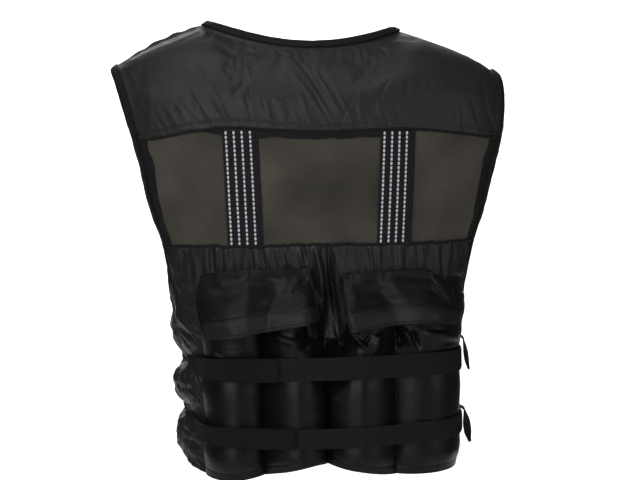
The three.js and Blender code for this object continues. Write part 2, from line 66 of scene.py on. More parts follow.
# %% [markdown]
# ## The camera
# The photographer stood behind the vest, a little to its left and just above its middle, with a long
# lens. A long lens keeps the shoulders and the hem at the same scale. The camera is built from the
# direction it looks in, so its tilt of one degree can be added as a turn about that direction.

# %% Camera
CAMERA = {"distance": 2.0, "aim": (0, 0, -0.226), "turn": 5.0, "raise": 2.0, "roll": 1.0}
LENS_MM, SENSOR_MM = 99.65, 36
IMAGE_WIDTH = 638
AIM_PIXELS_LEFT = 3


def look(distance, aim, turn, raised, roll):
    turn, raised, roll = (math.radians(a) for a in (turn, raised, roll))
    ahead = Vector((math.sin(turn) * math.cos(raised), math.cos(turn) * math.cos(raised), -math.sin(raised)))
    right = Vector((math.cos(turn), -math.sin(turn), 0))
    up = right.cross(ahead)
    x = right * math.cos(roll) - up * math.sin(roll)
    y = right * math.sin(roll) + up * math.cos(roll)
    place = Matrix((x, y, -ahead)).transposed().to_4x4()
    place.translation = Vector(aim) - ahead * distance
    return place


bpy.ops.object.camera_add()
camera = bpy.context.object
camera.name = "camera"
camera.data.lens = LENS_MM
camera.data.sensor_width = SENSOR_MM
camera.data.shift_x = AIM_PIXELS_LEFT / IMAGE_WIDTH
camera.data.clip_end = 50
bpy.context.scene.view_settings.view_transform = "Standard"
camera.matrix_world = look(*CAMERA.values())
bpy.context.scene.camera = camera
print("camera at", [round(c, 3) for c in camera.matrix_world.translation])

# %% [markdown]
# ## The room
# Black satin shows only what it reflects. A tall soft lamp beside the camera gives every filled tube one
# upright streak of light and leaves the grooves between them dark. The floor runs up into the wall behind
# in one curve, so there is no line at the back. The air round the room looks white to the camera but
# gives the cloth only a little light, as the dark half of a studio does.

# %% Floor and backdrop
FLOOR_Z, FLOOR_START_Y = -0.95, -3.0
ROOM_WIDTH, ROOM_LENGTH, FLOOR_LENGTH = 2.7, 9.0, 5.0
CURVE_LENGTH, CURVE_RADIUS = 1.6, 1.0


def pale_room():
    bpy.ops.mesh.primitive_grid_add(x_subdivisions=2, y_subdivisions=40, size=1)
    room = bpy.context.object
    room.name = "room"
    for vertex in room.data.vertices:
        along = (vertex.co.y + 0.5) * ROOM_LENGTH
        bend = min(max((along - FLOOR_LENGTH) / CURVE_LENGTH, 0), 1) * math.pi / 2
        wall = max(along - FLOOR_LENGTH - CURVE_LENGTH, 0)
        vertex.co.x *= ROOM_WIDTH
        vertex.co.y = FLOOR_START_Y + min(along, FLOOR_LENGTH) + CURVE_RADIUS * math.sin(bend)
        vertex.co.z = FLOOR_Z + CURVE_RADIUS * (1 - math.cos(bend)) + wall
    bpy.ops.object.shade_smooth()
    paint = bpy.data.materials.new("room_paint")
    paint.use_nodes = True
    shader = paint.node_tree.nodes["Principled BSDF"]
    shader.inputs["Base Color"].default_value = (0.88, 0.88, 0.87, 1)
    shader.inputs["Roughness"].default_value = 0.9
    shader.inputs["Specular IOR Level"].default_value = 0.1
    room.data.materials.append(paint)
    room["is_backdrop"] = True


pale_room()

# %% Lamps
LAMPS = [
    {"name": "key", "place": (-0.95, -2.5, 0.35), "size": (0.8, 1.6), "power": 17},
    {"name": "soft", "place": (-2.2, -1.6, 1.4), "size": (1.6, 1.6), "power": 13},
    {"name": "top", "place": (-0.4, -0.4, 2.3), "size": (2.0, 1.4), "power": 14},
    {"name": "fill", "place": (2.3, -1.9, 0.1), "size": (1.6, 1.6), "power": 9},
    {"name": "wall", "place": (0.0, 0.9, 1.5), "size": (3.0, 0.8), "power": 170, "aim": (0, 3.0, 1.3)},
]
for lamp in LAMPS:
    bpy.ops.object.light_add(type="AREA", location=lamp["place"])
    light = bpy.context.object
    light.name = "lamp_" + lamp["name"]
    light.data.shape = "RECTANGLE"
    light.data.size, light.data.size_y = lamp["size"]
    light.data.energy = lamp["power"]
    aim = Vector(lamp.get("aim", (0, 0, -0.25))) - Vector(lamp["place"])
    light.rotation_euler = aim.to_track_quat("-Z", "Y").to_euler()

# %% World
AMBIENT = 0.05
world = bpy.data.worlds.new("studio")
bpy.context.scene.world = world
world.use_nodes = True
sky = world.node_tree.nodes["Background"]
sky.inputs["Color"].default_value = (1, 1, 1, 1)
ray = world.node_tree.nodes.new("ShaderNodeLightPath")
level = world.node_tree.nodes.new("ShaderNodeMapRange")
level.inputs["To Min"].default_value = AMBIENT
level.inputs["To Max"].default_value = 1.0
world.node_tree.links.new(ray.outputs["Is Camera Ray"], level.inputs["Value"])
world.node_tree.links.new(level.outputs["Result"], sky.inputs["Strength"])
print("lamps:", len(LAMPS))

# %% [markdown]
# ## The pattern's numbers
# The same few tables that shaped the solids shape the cloth: the torso's cross-section by height, where
# the armholes cut in, the seam under the yoke and the hem. A smooth curve runs through each column. Only
# the armholes and the left shoulder tip differ: they are a few millimetres wider here than in the solids,
# closer to the photo.

# %% Tables
SEAM_Z = -228
UNDERARM_DROP = 57
UNDERARM_Z = SEAM_Z - UNDERARM_DROP
FRONT_SEAM_Z = -125
ROUNDNESS = 2.6
NECK_FROM, NECK_TO = 0.24, 0.74
NECK_TURN = 30
SHOULDER_SLOPE = 0.5
SHOULDER_ARCH = 4
YOKE_FULLNESS = 0.42
NECK = {"x": -13, "y": -3, "z": 12, "tilt": 4, "half_width": 110, "back": 62, "front": 92}
NECK_DIP = {"back": 25, "front": 88}
NECK_CLIMB = {"back": 1.5, "front": 2.2}
SHOULDERS = {
    "left": {"x": -219, "z": -28, "seam_y": -6, "rise": 0.1},
    "right": {"x": 203, "z": -38, "seam_y": 0, "rise": 0},
}


def table(columns, *rows):
    return [dict(zip(columns.split(), row)) for row in rows]


TORSO = table(
    "z left right back front",
    (-490, 150, 147, 99, 98),
    (-445, 152, 149, 101, 101),
    (-410, 149, 150, 100, 103),
    (-382, 153, 151, 100, 105),
    (-353, 148, 150, 99, 107),
    (-320, 156, 154, 100, 111),
    (-285, 163, 162, 102, 115),
    (-228, 173, 176, 106, 119),
    (-170, 195, 198, 113, 122),
    (-108, 213, 216, 117, 118),
    (-80, 222, 224, 116, 112),
)
ARMHOLE = table(
    "z left right",
    (-228, 169, 170),
    (-200, 178, 178),
    (-170, 186, 184),
    (-140, 191, 191),
    (-110, 198, 198),
)
YOKE_SEAM = table(
    "across z", (-1, -113), (-0.66, -102), (-0.3, -105), (0, -107), (0.6, -106), (1, -115)
)
HEM = table(
    "angle z",
    (-180, -462), (-120, -460), (-90, -460), (-72, -472), (-50, -480), (-28, -471), (-6, -463),
    (14, -470), (36, -478), (62, -478), (90, -472), (130, -462), (180, -462),
)
SIDE_BULGES = table("angle z out spread", (-92, -325, 9, 22), (-92, -383, 9, 20), (-92, -439, 8, 23))
BULGE_SPREAD = 13

# %% Curves through the tables
def through(rows, key, value):
    """A smooth function through one column, with straight ends."""
    at = np.array([row[key] for row in rows], float)
    to = np.array([row[value] for row in rows], float)
    last = len(at) - 2

    def curve(t):
        t = np.clip(np.asarray(t, float), at[0], at[-1])
        i = np.clip(np.searchsorted(at, t, side="right") - 1, 0, last)
        t0, t1 = at[i], at[i + 1]
        t_before = np.where(i == 0, 2 * t0 - t1, at[np.maximum(i - 1, 0)])
        t_after = np.where(i == last, 2 * t1 - t0, at[np.minimum(i + 2, last + 1)])
        y_before = np.where(i == 0, to[i + 1], to[np.maximum(i - 1, 0)])
        y_after = np.where(i == last, to[i], to[np.minimum(i + 2, last + 1)])
        w0 = (t1 - t0) / 2 / (t0 - t_before)
        w1 = (t1 - t0) / 2 / (t_after - t1)
        p = (t - t0) / (t1 - t0)
        a = -w0 * p**3 + 2 * w0 * p**2 - w0 * p
        b = (1 + w0) * p**3 - (1.5 + 2 * w0) * p**2 + (w0 - 0.5) * p + 1
        c = -(1 + w1) * p**3 + (1.5 + w1) * p**2 + 0.5 * p
        d = w1 * p**3 - w1 * p**2
        return a * y_before + b * to[i] + c * to[i + 1] + d * y_after

    return curve


def both(rows, key, left, right):
    left, right = through(rows, key, left), through(rows, key, right)
    return lambda side, t: np.where(side < 0, left(t), right(t))


half_width = both(TORSO, "z", "left", "right")
half_depth = both(TORSO, "z", "front", "back")
armhole_x = both(ARMHOLE, "z", "left", "right")
yoke_seam = through(YOKE_SEAM, "across", "z")
hem = through(HEM, "angle", "z")


def smooth(t, low=0.0, high=1.0):
    t = np.clip((np.asarray(t, float) - low) / (high - low), 0, 1)
    return t * t * (3 - 2 * t)


def bump(t):
    return np.exp(-np.asarray(t, float) ** 2)


def mix(a, b, t):
    return a + (b - a) * t


print("hem at the middle of the back:", round(float(hem(0)), 1), "mm")

# %% [markdown]
# ## Surfaces that the panels are sewn onto
# A cross-section of the torso is a rounded oval. The lower panels and the mesh lie on it. A yoke is a
# fan of curves from its seam, up over the shoulder blade, to the neck or the shoulder line.

# %% Torso and panels
def torso(angle, z):
    """Points of the torso. The angle is 0 at the middle of the back and 90 at the wearer's right."""
    s, c = np.sin(np.radians(angle)), np.cos(np.radians(angle))
    across = np.abs(s) / half_width(s, z)
    along = np.abs(c) / half_depth(c, z)
    reach = (across**ROUNDNESS + along**ROUNDNESS) ** (-1 / ROUNDNESS)
    return np.stack([reach * s, -reach * c, z + 0 * s], -1)


def unit(v):
    return v / np.maximum(np.linalg.norm(v, axis=-1, keepdims=True), 1e-12)


def torso_out(angle, z):
    e = 0.05
    along = torso(angle + e, z) - torso(angle - e, z)
    up = torso(angle, z + e) - torso(angle, z - e)
    return unit(np.cross(along, up))


def on_torso(angle, z, lift):
    return torso(angle, z) + torso_out(angle, z) * np.reshape(lift, (-1, 1))


def angle_at(x, z):
    """The angle of a place on the back that is known by its x."""
    share = 1 - (np.abs(x) / half_width(x, z)) ** ROUNDNESS
    return np.degrees(np.arctan2(x, half_depth(1, z) * share ** (1 / ROUNDNESS)))


def angle_of(points):
    """The angle of points seen from above, as it is counted for the torso."""
    return np.degrees(np.arctan2(points[:, 0], -points[:, 1]))


def edge_angle(side, face, z):
    """How far a panel reaches from its middle, in degrees: round the arm it stops at the armhole."""
    straight = np.maximum(z, SEAM_Z)
    x = armhole_x(side, straight)
    share = 1 - (x / half_width(side, straight)) ** ROUNDNESS
    y = half_depth(np.where(face == "back", 1, -1), straight)
    edge = np.degrees(np.arctan2(x, y * share ** (1 / ROUNDNESS)))
    down = np.clip((SEAM_Z - z) / UNDERARM_DROP, 0, 1)
    return 90 - (90 - edge) * np.sqrt(1 - down * down)


def panel_angle(face, across, z):
    side = np.where(across < 0, -1, 1)
    from_middle = np.abs(across) * edge_angle(side, face, z)
    return side * (from_middle if face == "back" else 180 - from_middle)


def on_panel(face, across, z, lift=0.0):
    angle = panel_angle(face, across, z)
    return on_torso(angle, np.maximum(z, hem(angle)), lift)


def side_bulge(angle, z):
    return sum(
        row["out"] * bump((angle - row["angle"]) / BULGE_SPREAD) * bump(((z - row["z"]) / row["spread"]) ** 2)
        for row in SIDE_BULGES
    )


# %% Yokes
def neck_edge(angle):
    s, c = np.sin(np.radians(angle)), np.cos(np.radians(angle))
    behind = c > 0
    return np.stack(
        [
            NECK["x"] + NECK["half_width"] * s,
            NECK["y"] - np.where(behind, NECK["back"], NECK["front"]) * c,
            NECK["z"] - NECK["tilt"] * s - np.where(behind, NECK_DIP["back"], NECK_DIP["front"]) * c * c,
        ],
        -1,
    )


def yoke_top(u, face):
    """The neck or shoulder edge of a yoke, and the way the cloth runs on there."""
    middle = (NECK_FROM + NECK_TO) / 2
    left = u < middle
    angle = np.clip((u - middle) / (NECK_TO - middle), -1, 1) * 90
    opened = np.cos(np.radians(angle))
    point = neck_edge(angle if face == "back" else 180 - angle)
    seam_y = np.where(left, SHOULDERS["left"]["seam_y"], SHOULDERS["right"]["seam_y"])
    rise = np.where(left, SHOULDERS["left"]["rise"], SHOULDERS["right"]["rise"])
    point[:, 1] += (1 - opened) ** 3 * (seam_y - NECK["y"])
    out = np.where(left, (NECK_FROM - u) / NECK_FROM, (u - NECK_TO) / (1 - NECK_TO))
    outside = (u < NECK_FROM) | (u > NECK_TO)
    tip_x = np.where(left, SHOULDERS["left"]["x"], SHOULDERS["right"]["x"])
    tip_z = np.where(left, SHOULDERS["left"]["z"], SHOULDERS["right"]["z"])
    ridge = np.stack(
        [
            mix(point[:, 0], tip_x, out),
            seam_y + 0 * u,
            mix(point[:, 2], tip_z, out) + SHOULDER_ARCH * np.sin(np.pi * out),
        ],
        -1,
    )
    point = np.where(outside[:, None], ridge, point)
    turn = NECK_TURN * np.sin(np.radians(angle)) * np.where(outside, 1 - smooth(out, 0, 0.9), 1)
    forward = 1 if face == "back" else -1
    climb = mix(rise * forward, NECK_CLIMB[face], smooth(opened, -0.12, 1))
    inwards = -np.sin(np.radians(turn))
    onwards = np.stack(
        [inwards, forward * np.cos(np.radians(turn)), climb + SHOULDER_SLOPE * np.abs(inwards)], -1
    )
    return point, unit(onwards)


def yoke(face, u, v):
    across = 2 * u - 1
    seam = yoke_seam(np.clip(across, -1, 1)) if face == "back" else FRONT_SEAM_Z + 0 * u
    start = on_panel(face, across, seam)
    up = unit(on_panel(face, across, seam + 1) - on_panel(face, across, seam - 1))
    end, onwards = yoke_top(u, face)
    length = np.linalg.norm(end - start, axis=-1, keepdims=True) * YOKE_FULLNESS
    a, b = start + up * length, end - onwards * length
    v = v[:, None]
    return (1 - v) ** 3 * start + 3 * (1 - v) ** 2 * v * a + 3 * (1 - v) * v * v * b + v**3 * end


def yoke_out(face, u, v):
    e = 1e-3
    along = yoke(face, u + e, v) - yoke(face, u - e, v)
    up = yoke(face, u, v + e) - yoke(face, u, v - e)
    return unit(np.cross(along, up)) * (1 if face == "back" else -1)


print("left shoulder tip:", yoke(face="back", u=np.array([0.0]), v=np.array([1.0])).round(1).tolist())

# %% [markdown]
# ## Folds and creases
# Cloth that is sewn to something shorter than itself puckers. Two kinds of small relief are enough:
# folds, which are ridges between two points that fade at their ends, and crumples, which are a net of
# soft creases in no order. Both are heights off the surface, so they work on any panel.

# %% Relief
def noise(x, y, seed):
    """Smooth ups and downs from -1 to 1, about one unit across. The same seed gives the same ones."""
    grid = np.random.default_rng(seed).uniform(-1, 1, (64, 64))
    x, y = np.broadcast_arrays(np.asarray(x, float), np.asarray(y, float))
    i, j = np.floor(x).astype(int), np.floor(y).astype(int)
    a, b = x - i, y - j
    a, b = (t * t * t * (t * (6 * t - 15) + 10) for t in (a, b))
    corner = lambda di, dj: grid[(i + di) % 64, (j + dj) % 64]
    return mix(mix(corner(0, 0), corner(1, 0), a), mix(corner(0, 1), corner(1, 1), a), b)


def crumple(x, y, size, seed):
    """Soft creases in no order: 0 in the creases and up to 1 between them."""
    x, y = np.asarray(x) / size, np.asarray(y) / size
    x, y = x + 0.6 * noise(x * 0.7, y * 0.7, seed + 1), y + 0.6 * noise(x * 0.7, y * 0.7, seed + 2)
    first = np.sqrt(noise(x, y, seed) ** 2 + 0.01)
    second = np.sqrt(noise(2.1 * x, 2.1 * y, seed + 3) ** 2 + 0.02)
    return first + 0.4 * second


def folds(x, z, rows):
    """Ridges from one point to another: each row is x, z, x, z, half width and height."""
    total = np.zeros(np.broadcast(x, z).shape)
    for x0, z0, x1, z1, wide, high in rows:
        dx, dz = x1 - x0, z1 - z0
        length = math.hypot(dx, dz)
        along = ((x - x0) * dx + (z - z0) * dz) / length**2
        beside = ((x - x0) * dz - (z - z0) * dx) / length
        total += high * bump(beside / wide) * smooth(along, -0.12, 0.3) * smooth(along, 1.12, 0.5)
    return total


# %% [markdown]
# ## From a flat grid to sewn cloth
# The grid's two directions are the cloth's width and length, and its texture map is laid out in metres,
# so that a weave has its real size on every piece. Solidify then turns the sheet into a closed piece of
# cloth: it adds the wrong side and the cut edges. A padded piece gets more thickness in its middle from
# a weight on each point.

# %% Grid to cloth
def only(piece):
    bpy.ops.object.select_all(action="DESELECT")
    piece.select_set(True)
    bpy.context.view_layer.objects.active = piece


def apply(piece, kind, **settings):
    only(piece)
    modifier = piece.modifiers.new(kind.lower(), kind)
    for name, value in settings.items():
        setattr(modifier, name, value)
    bpy.ops.object.modifier_apply(modifier=modifier.name)


def points_of(piece):
    co = np.empty(len(piece.data.vertices) * 3)
    piece.data.vertices.foreach_get("co", co)
    return co.reshape(-1, 3)


def move_points(piece, points):
    piece.data.vertices.foreach_set("co", np.ascontiguousarray(points, float).ravel())
    piece.data.update()


def weigh_points(piece, name, weights):
    group = piece.vertex_groups.new(name=name)
    for index, weight in weights:
        group.add([int(index)], float(weight), "REPLACE")


def flat_grid(name, columns, rows, size):
    """A grid from 0 to 1 both ways, with its texture map in metres."""
    bpy.ops.object.select_all(action="DESELECT")
    bpy.ops.mesh.primitive_grid_add(x_subdivisions=columns, y_subdivisions=rows, size=1)
    piece = bpy.context.object
    piece.name = piece.data.name = name
    uv = points_of(piece)[:, :2] + 0.5
    corner = np.empty(len(piece.data.loops), int)
    piece.data.loops.foreach_get("vertex_index", corner)
    piece.data.uv_layers[0].data.foreach_set("uv", (uv[corner] * np.array(size) * MM).ravel())
    return piece, uv[:, 0], uv[:, 1]


def relax(points, columns, rows, rounds):
    """Even out a grid of points, with its edges held."""
    grid = points.reshape(rows + 1, columns + 1, 3).copy()
    for _ in range(rounds):
        sides = grid[1:-1, :-2] + grid[1:-1, 2:] + grid[:-2, 1:-1] + grid[2:, 1:-1]
        grid[1:-1, 1:-1] = 0.5 * grid[1:-1, 1:-1] + 0.125 * sides
    return grid.reshape(-1, 3)


def grid_out(points, columns, rows):
    """The direction off the grid at each of its points."""
    grid = points.reshape(rows + 1, columns + 1, 3)
    out = np.cross(np.gradient(grid, axis=1), np.gradient(grid, axis=0))
    return unit(out).reshape(-1, 3)


def weld(piece, within, face_out=False):
    """Join the points that lie on each other where a loop of cloth closes."""
    only(piece)
    bpy.ops.object.mode_set(mode="EDIT")
    bpy.ops.mesh.select_all(action="SELECT")
    bpy.ops.mesh.remove_doubles(threshold=within)
    if face_out:
        bpy.ops.mesh.normals_make_consistent(inside=False)
    bpy.ops.object.mode_set(mode="OBJECT")


def dress(piece, material, sharp=50):
    only(piece)
    bpy.ops.object.shade_smooth_by_angle(angle=math.radians(sharp))
    piece.data.materials.clear()
    piece.data.materials.append(material)
    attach(piece, "root")
    print(piece.name, "has", len(piece.data.polygons), "faces")


def finish_cloth(piece, thickness, material, weights=None):
    settings = {"thickness": thickness * MM, "offset": -1}
    if weights is not None:
        weigh_points(piece, "padding", enumerate(weights))
        settings["vertex_group"] = "padding"
    apply(piece, "SOLIDIFY", **settings)
    piece.vertex_groups.clear()
    dress(piece, material)


# %% [markdown]
# ## Letting the cloth settle
# Folds typed one by one look too even. A short cloth simulation relaxes them: the seams are pinned, the
# cloth is told that it is a little larger than it was drawn, and it buckles into folds of its own. How
# far a point may move is capped, so that the panel stays where it is sewn. The yokes and the two lower
# panels are settled in this way.

# %% Settle
SETTLE_FRAMES = 10
STIFFNESS = 12.0
CLOTH_MASS = 0.15


def settle(piece, pins, growth, cap, bending=0.3):
    only(piece)
    drawn = points_of(piece)
    held = np.nonzero(pins > 0.01)[0]
    weigh_points(piece, "seams", zip(held, pins[held]))
    cloth = piece.modifiers.new("settle", "CLOTH")
    settings = cloth.settings
    settings.quality = 5
    settings.mass = CLOTH_MASS
    settings.tension_stiffness = settings.compression_stiffness = STIFFNESS
    settings.shear_stiffness = STIFFNESS / 3
    settings.bending_stiffness = bending
    settings.vertex_group_mass = "seams"
    settings.shrink_min = -growth
    settings.effector_weights.gravity = 0
    cloth.collision_settings.use_collision = False
    for frame_number in range(1, SETTLE_FRAMES + 1):
        bpy.context.scene.frame_set(frame_number)
    bpy.ops.object.modifier_apply(modifier=cloth.name)
    bpy.context.scene.frame_set(1)
    moved = points_of(piece) - drawn
    far = np.linalg.norm(moved, axis=1, keepdims=True)
    move_points(piece, drawn + moved * np.minimum(1, cap * MM / np.maximum(far, 1e-9)))
    piece.vertex_groups.clear()
    print(piece.name, "settled by up to", round(float(far.max()) / MM, 1), "mm")


# %% [markdown]
# ## Cloths and their finishes
# Lined satin is woven so fine that it only shows as a soft gloss that is stronger one way than the
# other. Webbing and elastic are coarse enough to see their ribs, and the mesh has real holes. All
# patterns read the texture map, which is in metres, so a number such as 1400 means threads per metre.

# %% Material helpers
def new_material(name, color, roughness, specular=0.5, sheen=0.0):
    material = bpy.data.materials.new(name)
    material.use_nodes = True
    shader = material.node_tree.nodes["Principled BSDF"]
    shader.inputs["Base Color"].default_value = (*color, 1)
    shader.inputs["Roughness"].default_value = roughness
    shader.inputs["Specular IOR Level"].default_value = specular
    shader.inputs["Sheen Weight"].default_value = sheen
    shader.inputs["Sheen Roughness"].default_value = 0.4
    return material, shader


def node(material, kind, inputs=None, **settings):
    made = material.node_tree.nodes.new(kind)
    for name, value in settings.items():
        setattr(made, name, value)
    for name, value in (inputs or {}).items():
        socket = made.inputs[name]
        if isinstance(value, bpy.types.NodeSocket):
            material.node_tree.links.new(value, socket)
        else:
            socket.default_value = value
    return made


def link(material, start, end):
    material.node_tree.links.new(start, end)


def cloth_map(material):
    return node(material, "ShaderNodeTexCoord").outputs["UV"]


def clouds(material, scale, detail, distortion=0.0):
    """A soft pattern that ignores the texture map, so it runs on over a whole piece."""
    where = node(material, "ShaderNodeTexCoord").outputs["Object"]
    settings = {"Vector": where, "Scale": scale, "Detail": detail, "Distortion": distortion}
    return node(material, "ShaderNodeTexNoise", settings).outputs["Fac"]


def math_node(material, operation, *values):
    made = node(material, "ShaderNodeMath", operation=operation)
    for socket, value in zip(made.inputs, values):
        if isinstance(value, bpy.types.NodeSocket):
            link(material, value, socket)
        else:
            socket.default_value = value
    return made.outputs[0]


def threads(material, where, per_metre, axis):
    """A wave across the cloth: 0 between two threads and 1 on top of one."""
    part = node(material, "ShaderNodeSeparateXYZ", {"Vector": where}).outputs[axis]
    turned = math_node(material, "MULTIPLY", part, per_metre * 2 * math.pi)
    wave = math_node(material, "SINE", turned)
    return math_node(material, "MULTIPLY_ADD", wave, 0.5, 0.5)


def shade_by(material, shader, factor, dark, light):
    ramp = node(material, "ShaderNodeValToRGB", {"Fac": factor})
    ramp.color_ramp.elements[0].color = (*dark, 1)
    ramp.color_ramp.elements[1].color = (*light, 1)
    link(material, ramp.outputs["Color"], shader.inputs["Base Color"])
    return ramp


def add_bump(material, shader, height, strength, distance, below=None):
    settings = {"Height": height, "Strength": strength, "Distance": distance}
    if below is not None:
        settings["Normal"] = below
    made = node(material, "ShaderNodeBump", settings)
    link(material, made.outputs["Normal"], shader.inputs["Normal"])
    return made.outputs["Normal"]


# %% Satin
SATIN_WEFT, SATIN_WARP = 1400, 1100
# The flap's lower band gets its base colour multiplied by this gain: a painted highlight.
BAND_HIGHLIGHT_GAIN = 1.6
FLAP_BAND_METRES = 0.0204


def satin(name, dark, light, roughness, specular, band=None):
    """Lined satin. Below the height of a band, if it has one, its base colour is multiplied up: a painted
    highlight on the band.
    """
    material, shader = new_material(name, light, roughness, specular)
    where = cloth_map(material)
    blotches = clouds(material, 14.0, 4.0)
    ramp = shade_by(material, shader, blotches, dark, light)
    # Painted highlight: below the band line the colour is made brighter, as if that part faced the lamps.
    if band is not None:
        up = node(material, "ShaderNodeSeparateXYZ", {"Vector": where}).outputs["Y"]
        banded = math_node(material, "LESS_THAN", up, band)
        band_highlight = math_node(material, "MULTIPLY_ADD", banded, BAND_HIGHLIGHT_GAIN, 1.0)
        inputs = {"Vector": ramp.outputs["Color"], "Scale": band_highlight}
        scaled = node(material, "ShaderNodeVectorMath", inputs, operation="SCALE")
        link(material, scaled.outputs["Vector"], shader.inputs["Base Color"])
    soft = add_bump(material, shader, clouds(material, 75.0, 3.0, 0.6), 0.25, 0.002)
    weft, warp = threads(material, where, SATIN_WEFT, "X"), threads(material, where, SATIN_WARP, "Y")
    add_bump(material, shader, math_node(material, "MULTIPLY", weft, warp), 0.25, 0.0002, soft)
    rough = math_node(material, "MULTIPLY_ADD", blotches, 0.14, roughness - 0.07)
    link(material, rough, shader.inputs["Roughness"])
    return material


# The same black satin is made four times, with base colours set part by part to how bright each part looks:
# the lighter yoke is partly painted light, the darker pockets and flaps partly painted shade.
yoke_satin = satin("yoke_satin", (0.021, 0.021, 0.022), (0.031, 0.031, 0.032), 0.52, 0.45)
panel_satin = satin("panel_satin", (0.012, 0.012, 0.0125), (0.021, 0.021, 0.022), 0.42, 0.5)
pocket_satin = satin("pocket_satin", (0.0035, 0.0035, 0.004), (0.006, 0.006, 0.007), 0.37, 0.32)
flap_satin = satin("flap_satin", (0.005, 0.005, 0.0055), (0.0085, 0.0085, 0.009), 0.46, 0.3, FLAP_BAND_METRES)


# %% Mesh, tape, webbing and elastic
MESH_THREADS = 500
MESH_HOLE = 0.72
MESH_DARK, MESH_LIGHT = (0.032, 0.030, 0.026), (0.160, 0.144, 0.119)


def knitted_mesh():
    material, shader = new_material("knitted_mesh", (0.05, 0.045, 0.036), 0.75, 0.25)
    slanted = {"Vector": cloth_map(material), "Rotation": (0, 0, math.pi / 4)}
    where = node(material, "ShaderNodeMapping", slanted).outputs["Vector"]
    across, up = (threads(material, where, MESH_THREADS, axis) for axis in "XY")
    hole = math_node(material, "MULTIPLY", across, up)
    tone = math_node(material, "MULTIPLY_ADD", clouds(material, 13.0, 2.0), 0.7, 0.24)
    tone = math_node(material, "MULTIPLY_ADD", hole, -0.26, tone)
    ramp = shade_by(material, shader, tone, MESH_DARK, MESH_LIGHT)
    ramp.color_ramp.elements[0].position, ramp.color_ramp.elements[1].position = 0.25, 0.72
    link(material, math_node(material, "LESS_THAN", hole, MESH_HOLE), shader.inputs["Alpha"])
    add_bump(material, shader, up, 0.8, 0.0006)
    return material


def ribbed(name, color, per_metre, depth, roughness=0.72, specular=0.3):
    """Tape with ribs along its length, and finer threads across it."""
    material, shader = new_material(name, color, roughness, specular)
    where = cloth_map(material)
    ribs = threads(material, where, per_metre, "Y")
    # Painted shade and painted highlight: the base colour is darker between the ribs and lighter on top of
    # them.
    shade_by(material, shader, ribs, tuple(c * 0.6 for c in color), tuple(c * 1.7 for c in color))
    both_ways = math_node(material, "MULTIPLY_ADD", threads(material, where, 1300, "X"), 0.35, ribs)
    add_bump(material, shader, both_ways, 0.6, depth)
    return material


mesh_cloth = knitted_mesh()
tape = ribbed("binding_tape", (0.010, 0.010, 0.011), 900, 0.0003)
webbing = ribbed("strip_webbing", (0.011, 0.010, 0.014), 480, 0.0005)
elastic = ribbed("belt_elastic", (0.008, 0.008, 0.008), 800, 0.0003)
hook_tape = ribbed("hook_tape", (0.006, 0.006, 0.0066), 1100, 0.0003, 0.85)
white_dash, _ = new_material("white_dash", (0.88, 0.88, 0.92), 0.4, 0.5)
print("materials:", len(bpy.data.materials))

# %% [markdown]
# ## The back yoke
# Two layers of satin with wadding between them, sewn all round. The wadding makes it swell between the
# seams, and the seams pull it in, so it is puckered along its lower edge. Wrinkles run from the middle
# of the back up towards the neck, where the wearer's shoulders pull the cloth.

# %% Back yoke
YOKE_SKIN, YOKE_LINING, YOKE_PUFF = 2.2, 1.8, 5.5
YOKE_WRINKLES = [
    (4, -98, -38, -38, 2.6, 1.7),
    (16, -100, -24, -34, 2.4, -1.4),
    (24, -99, -8, -44, 2.6, 1.5),
    (6, -98, -14, -62, 1.8, -1.4),
    (-14, -99, -28, -58, 2.2, 1.3),
    (30, -98, 12, -60, 2.2, 1.3),
    (38, -97, 40, -64, 2.4, 1.2),
    (18, -98, 34, -70, 1.8, -1.1),
    (-100, -99, -128, -34, 3.0, 1.6),
    (-106, -98, -134, -44, 2.2, -1.3),
    (-116, -98, -142, -52, 2.4, 1.4),
    (-78, -98, -90, -56, 3.0, 1.1),
    (-126, -98, -148, -70, 1.8, 1.4),
    (-140, -98, -158, -68, 1.7, 1.5),
    (-152, -99, -168, -72, 1.7, 1.4),
    (-164, -101, -176, -78, 1.6, 1.3),
    (-56, -99, -60, -78, 2.0, 1.0),
    (62, -98, 58, -72, 2.4, 1.1),
    (92, -98, 84, -66, 2.6, 1.0),
    (124, -100, 116, -76, 2.2, 1.0),
    (150, -102, 146, -80, 2.0, 1.0),
    (-205, -63, -138, -57, 4.0, 1.2),
    (-124, 10, -118, -10, 1.8, 1.5),
    (-116, 8, -108, -12, 1.8, 1.4),
    (-205, -36, -196, -52, 2.2, 1.2),
]


def sewn_edge(distance, along, reach, spacing, seed):
    """Puckers beside a seam: they start at it and fade out within the reach, in millimetres."""
    wander = noise(along / spacing, 0.3 * distance / reach, seed)
    return np.exp(-distance / reach) * (wander + 0.45 * noise(2.3 * along / spacing, 0, seed + 1))


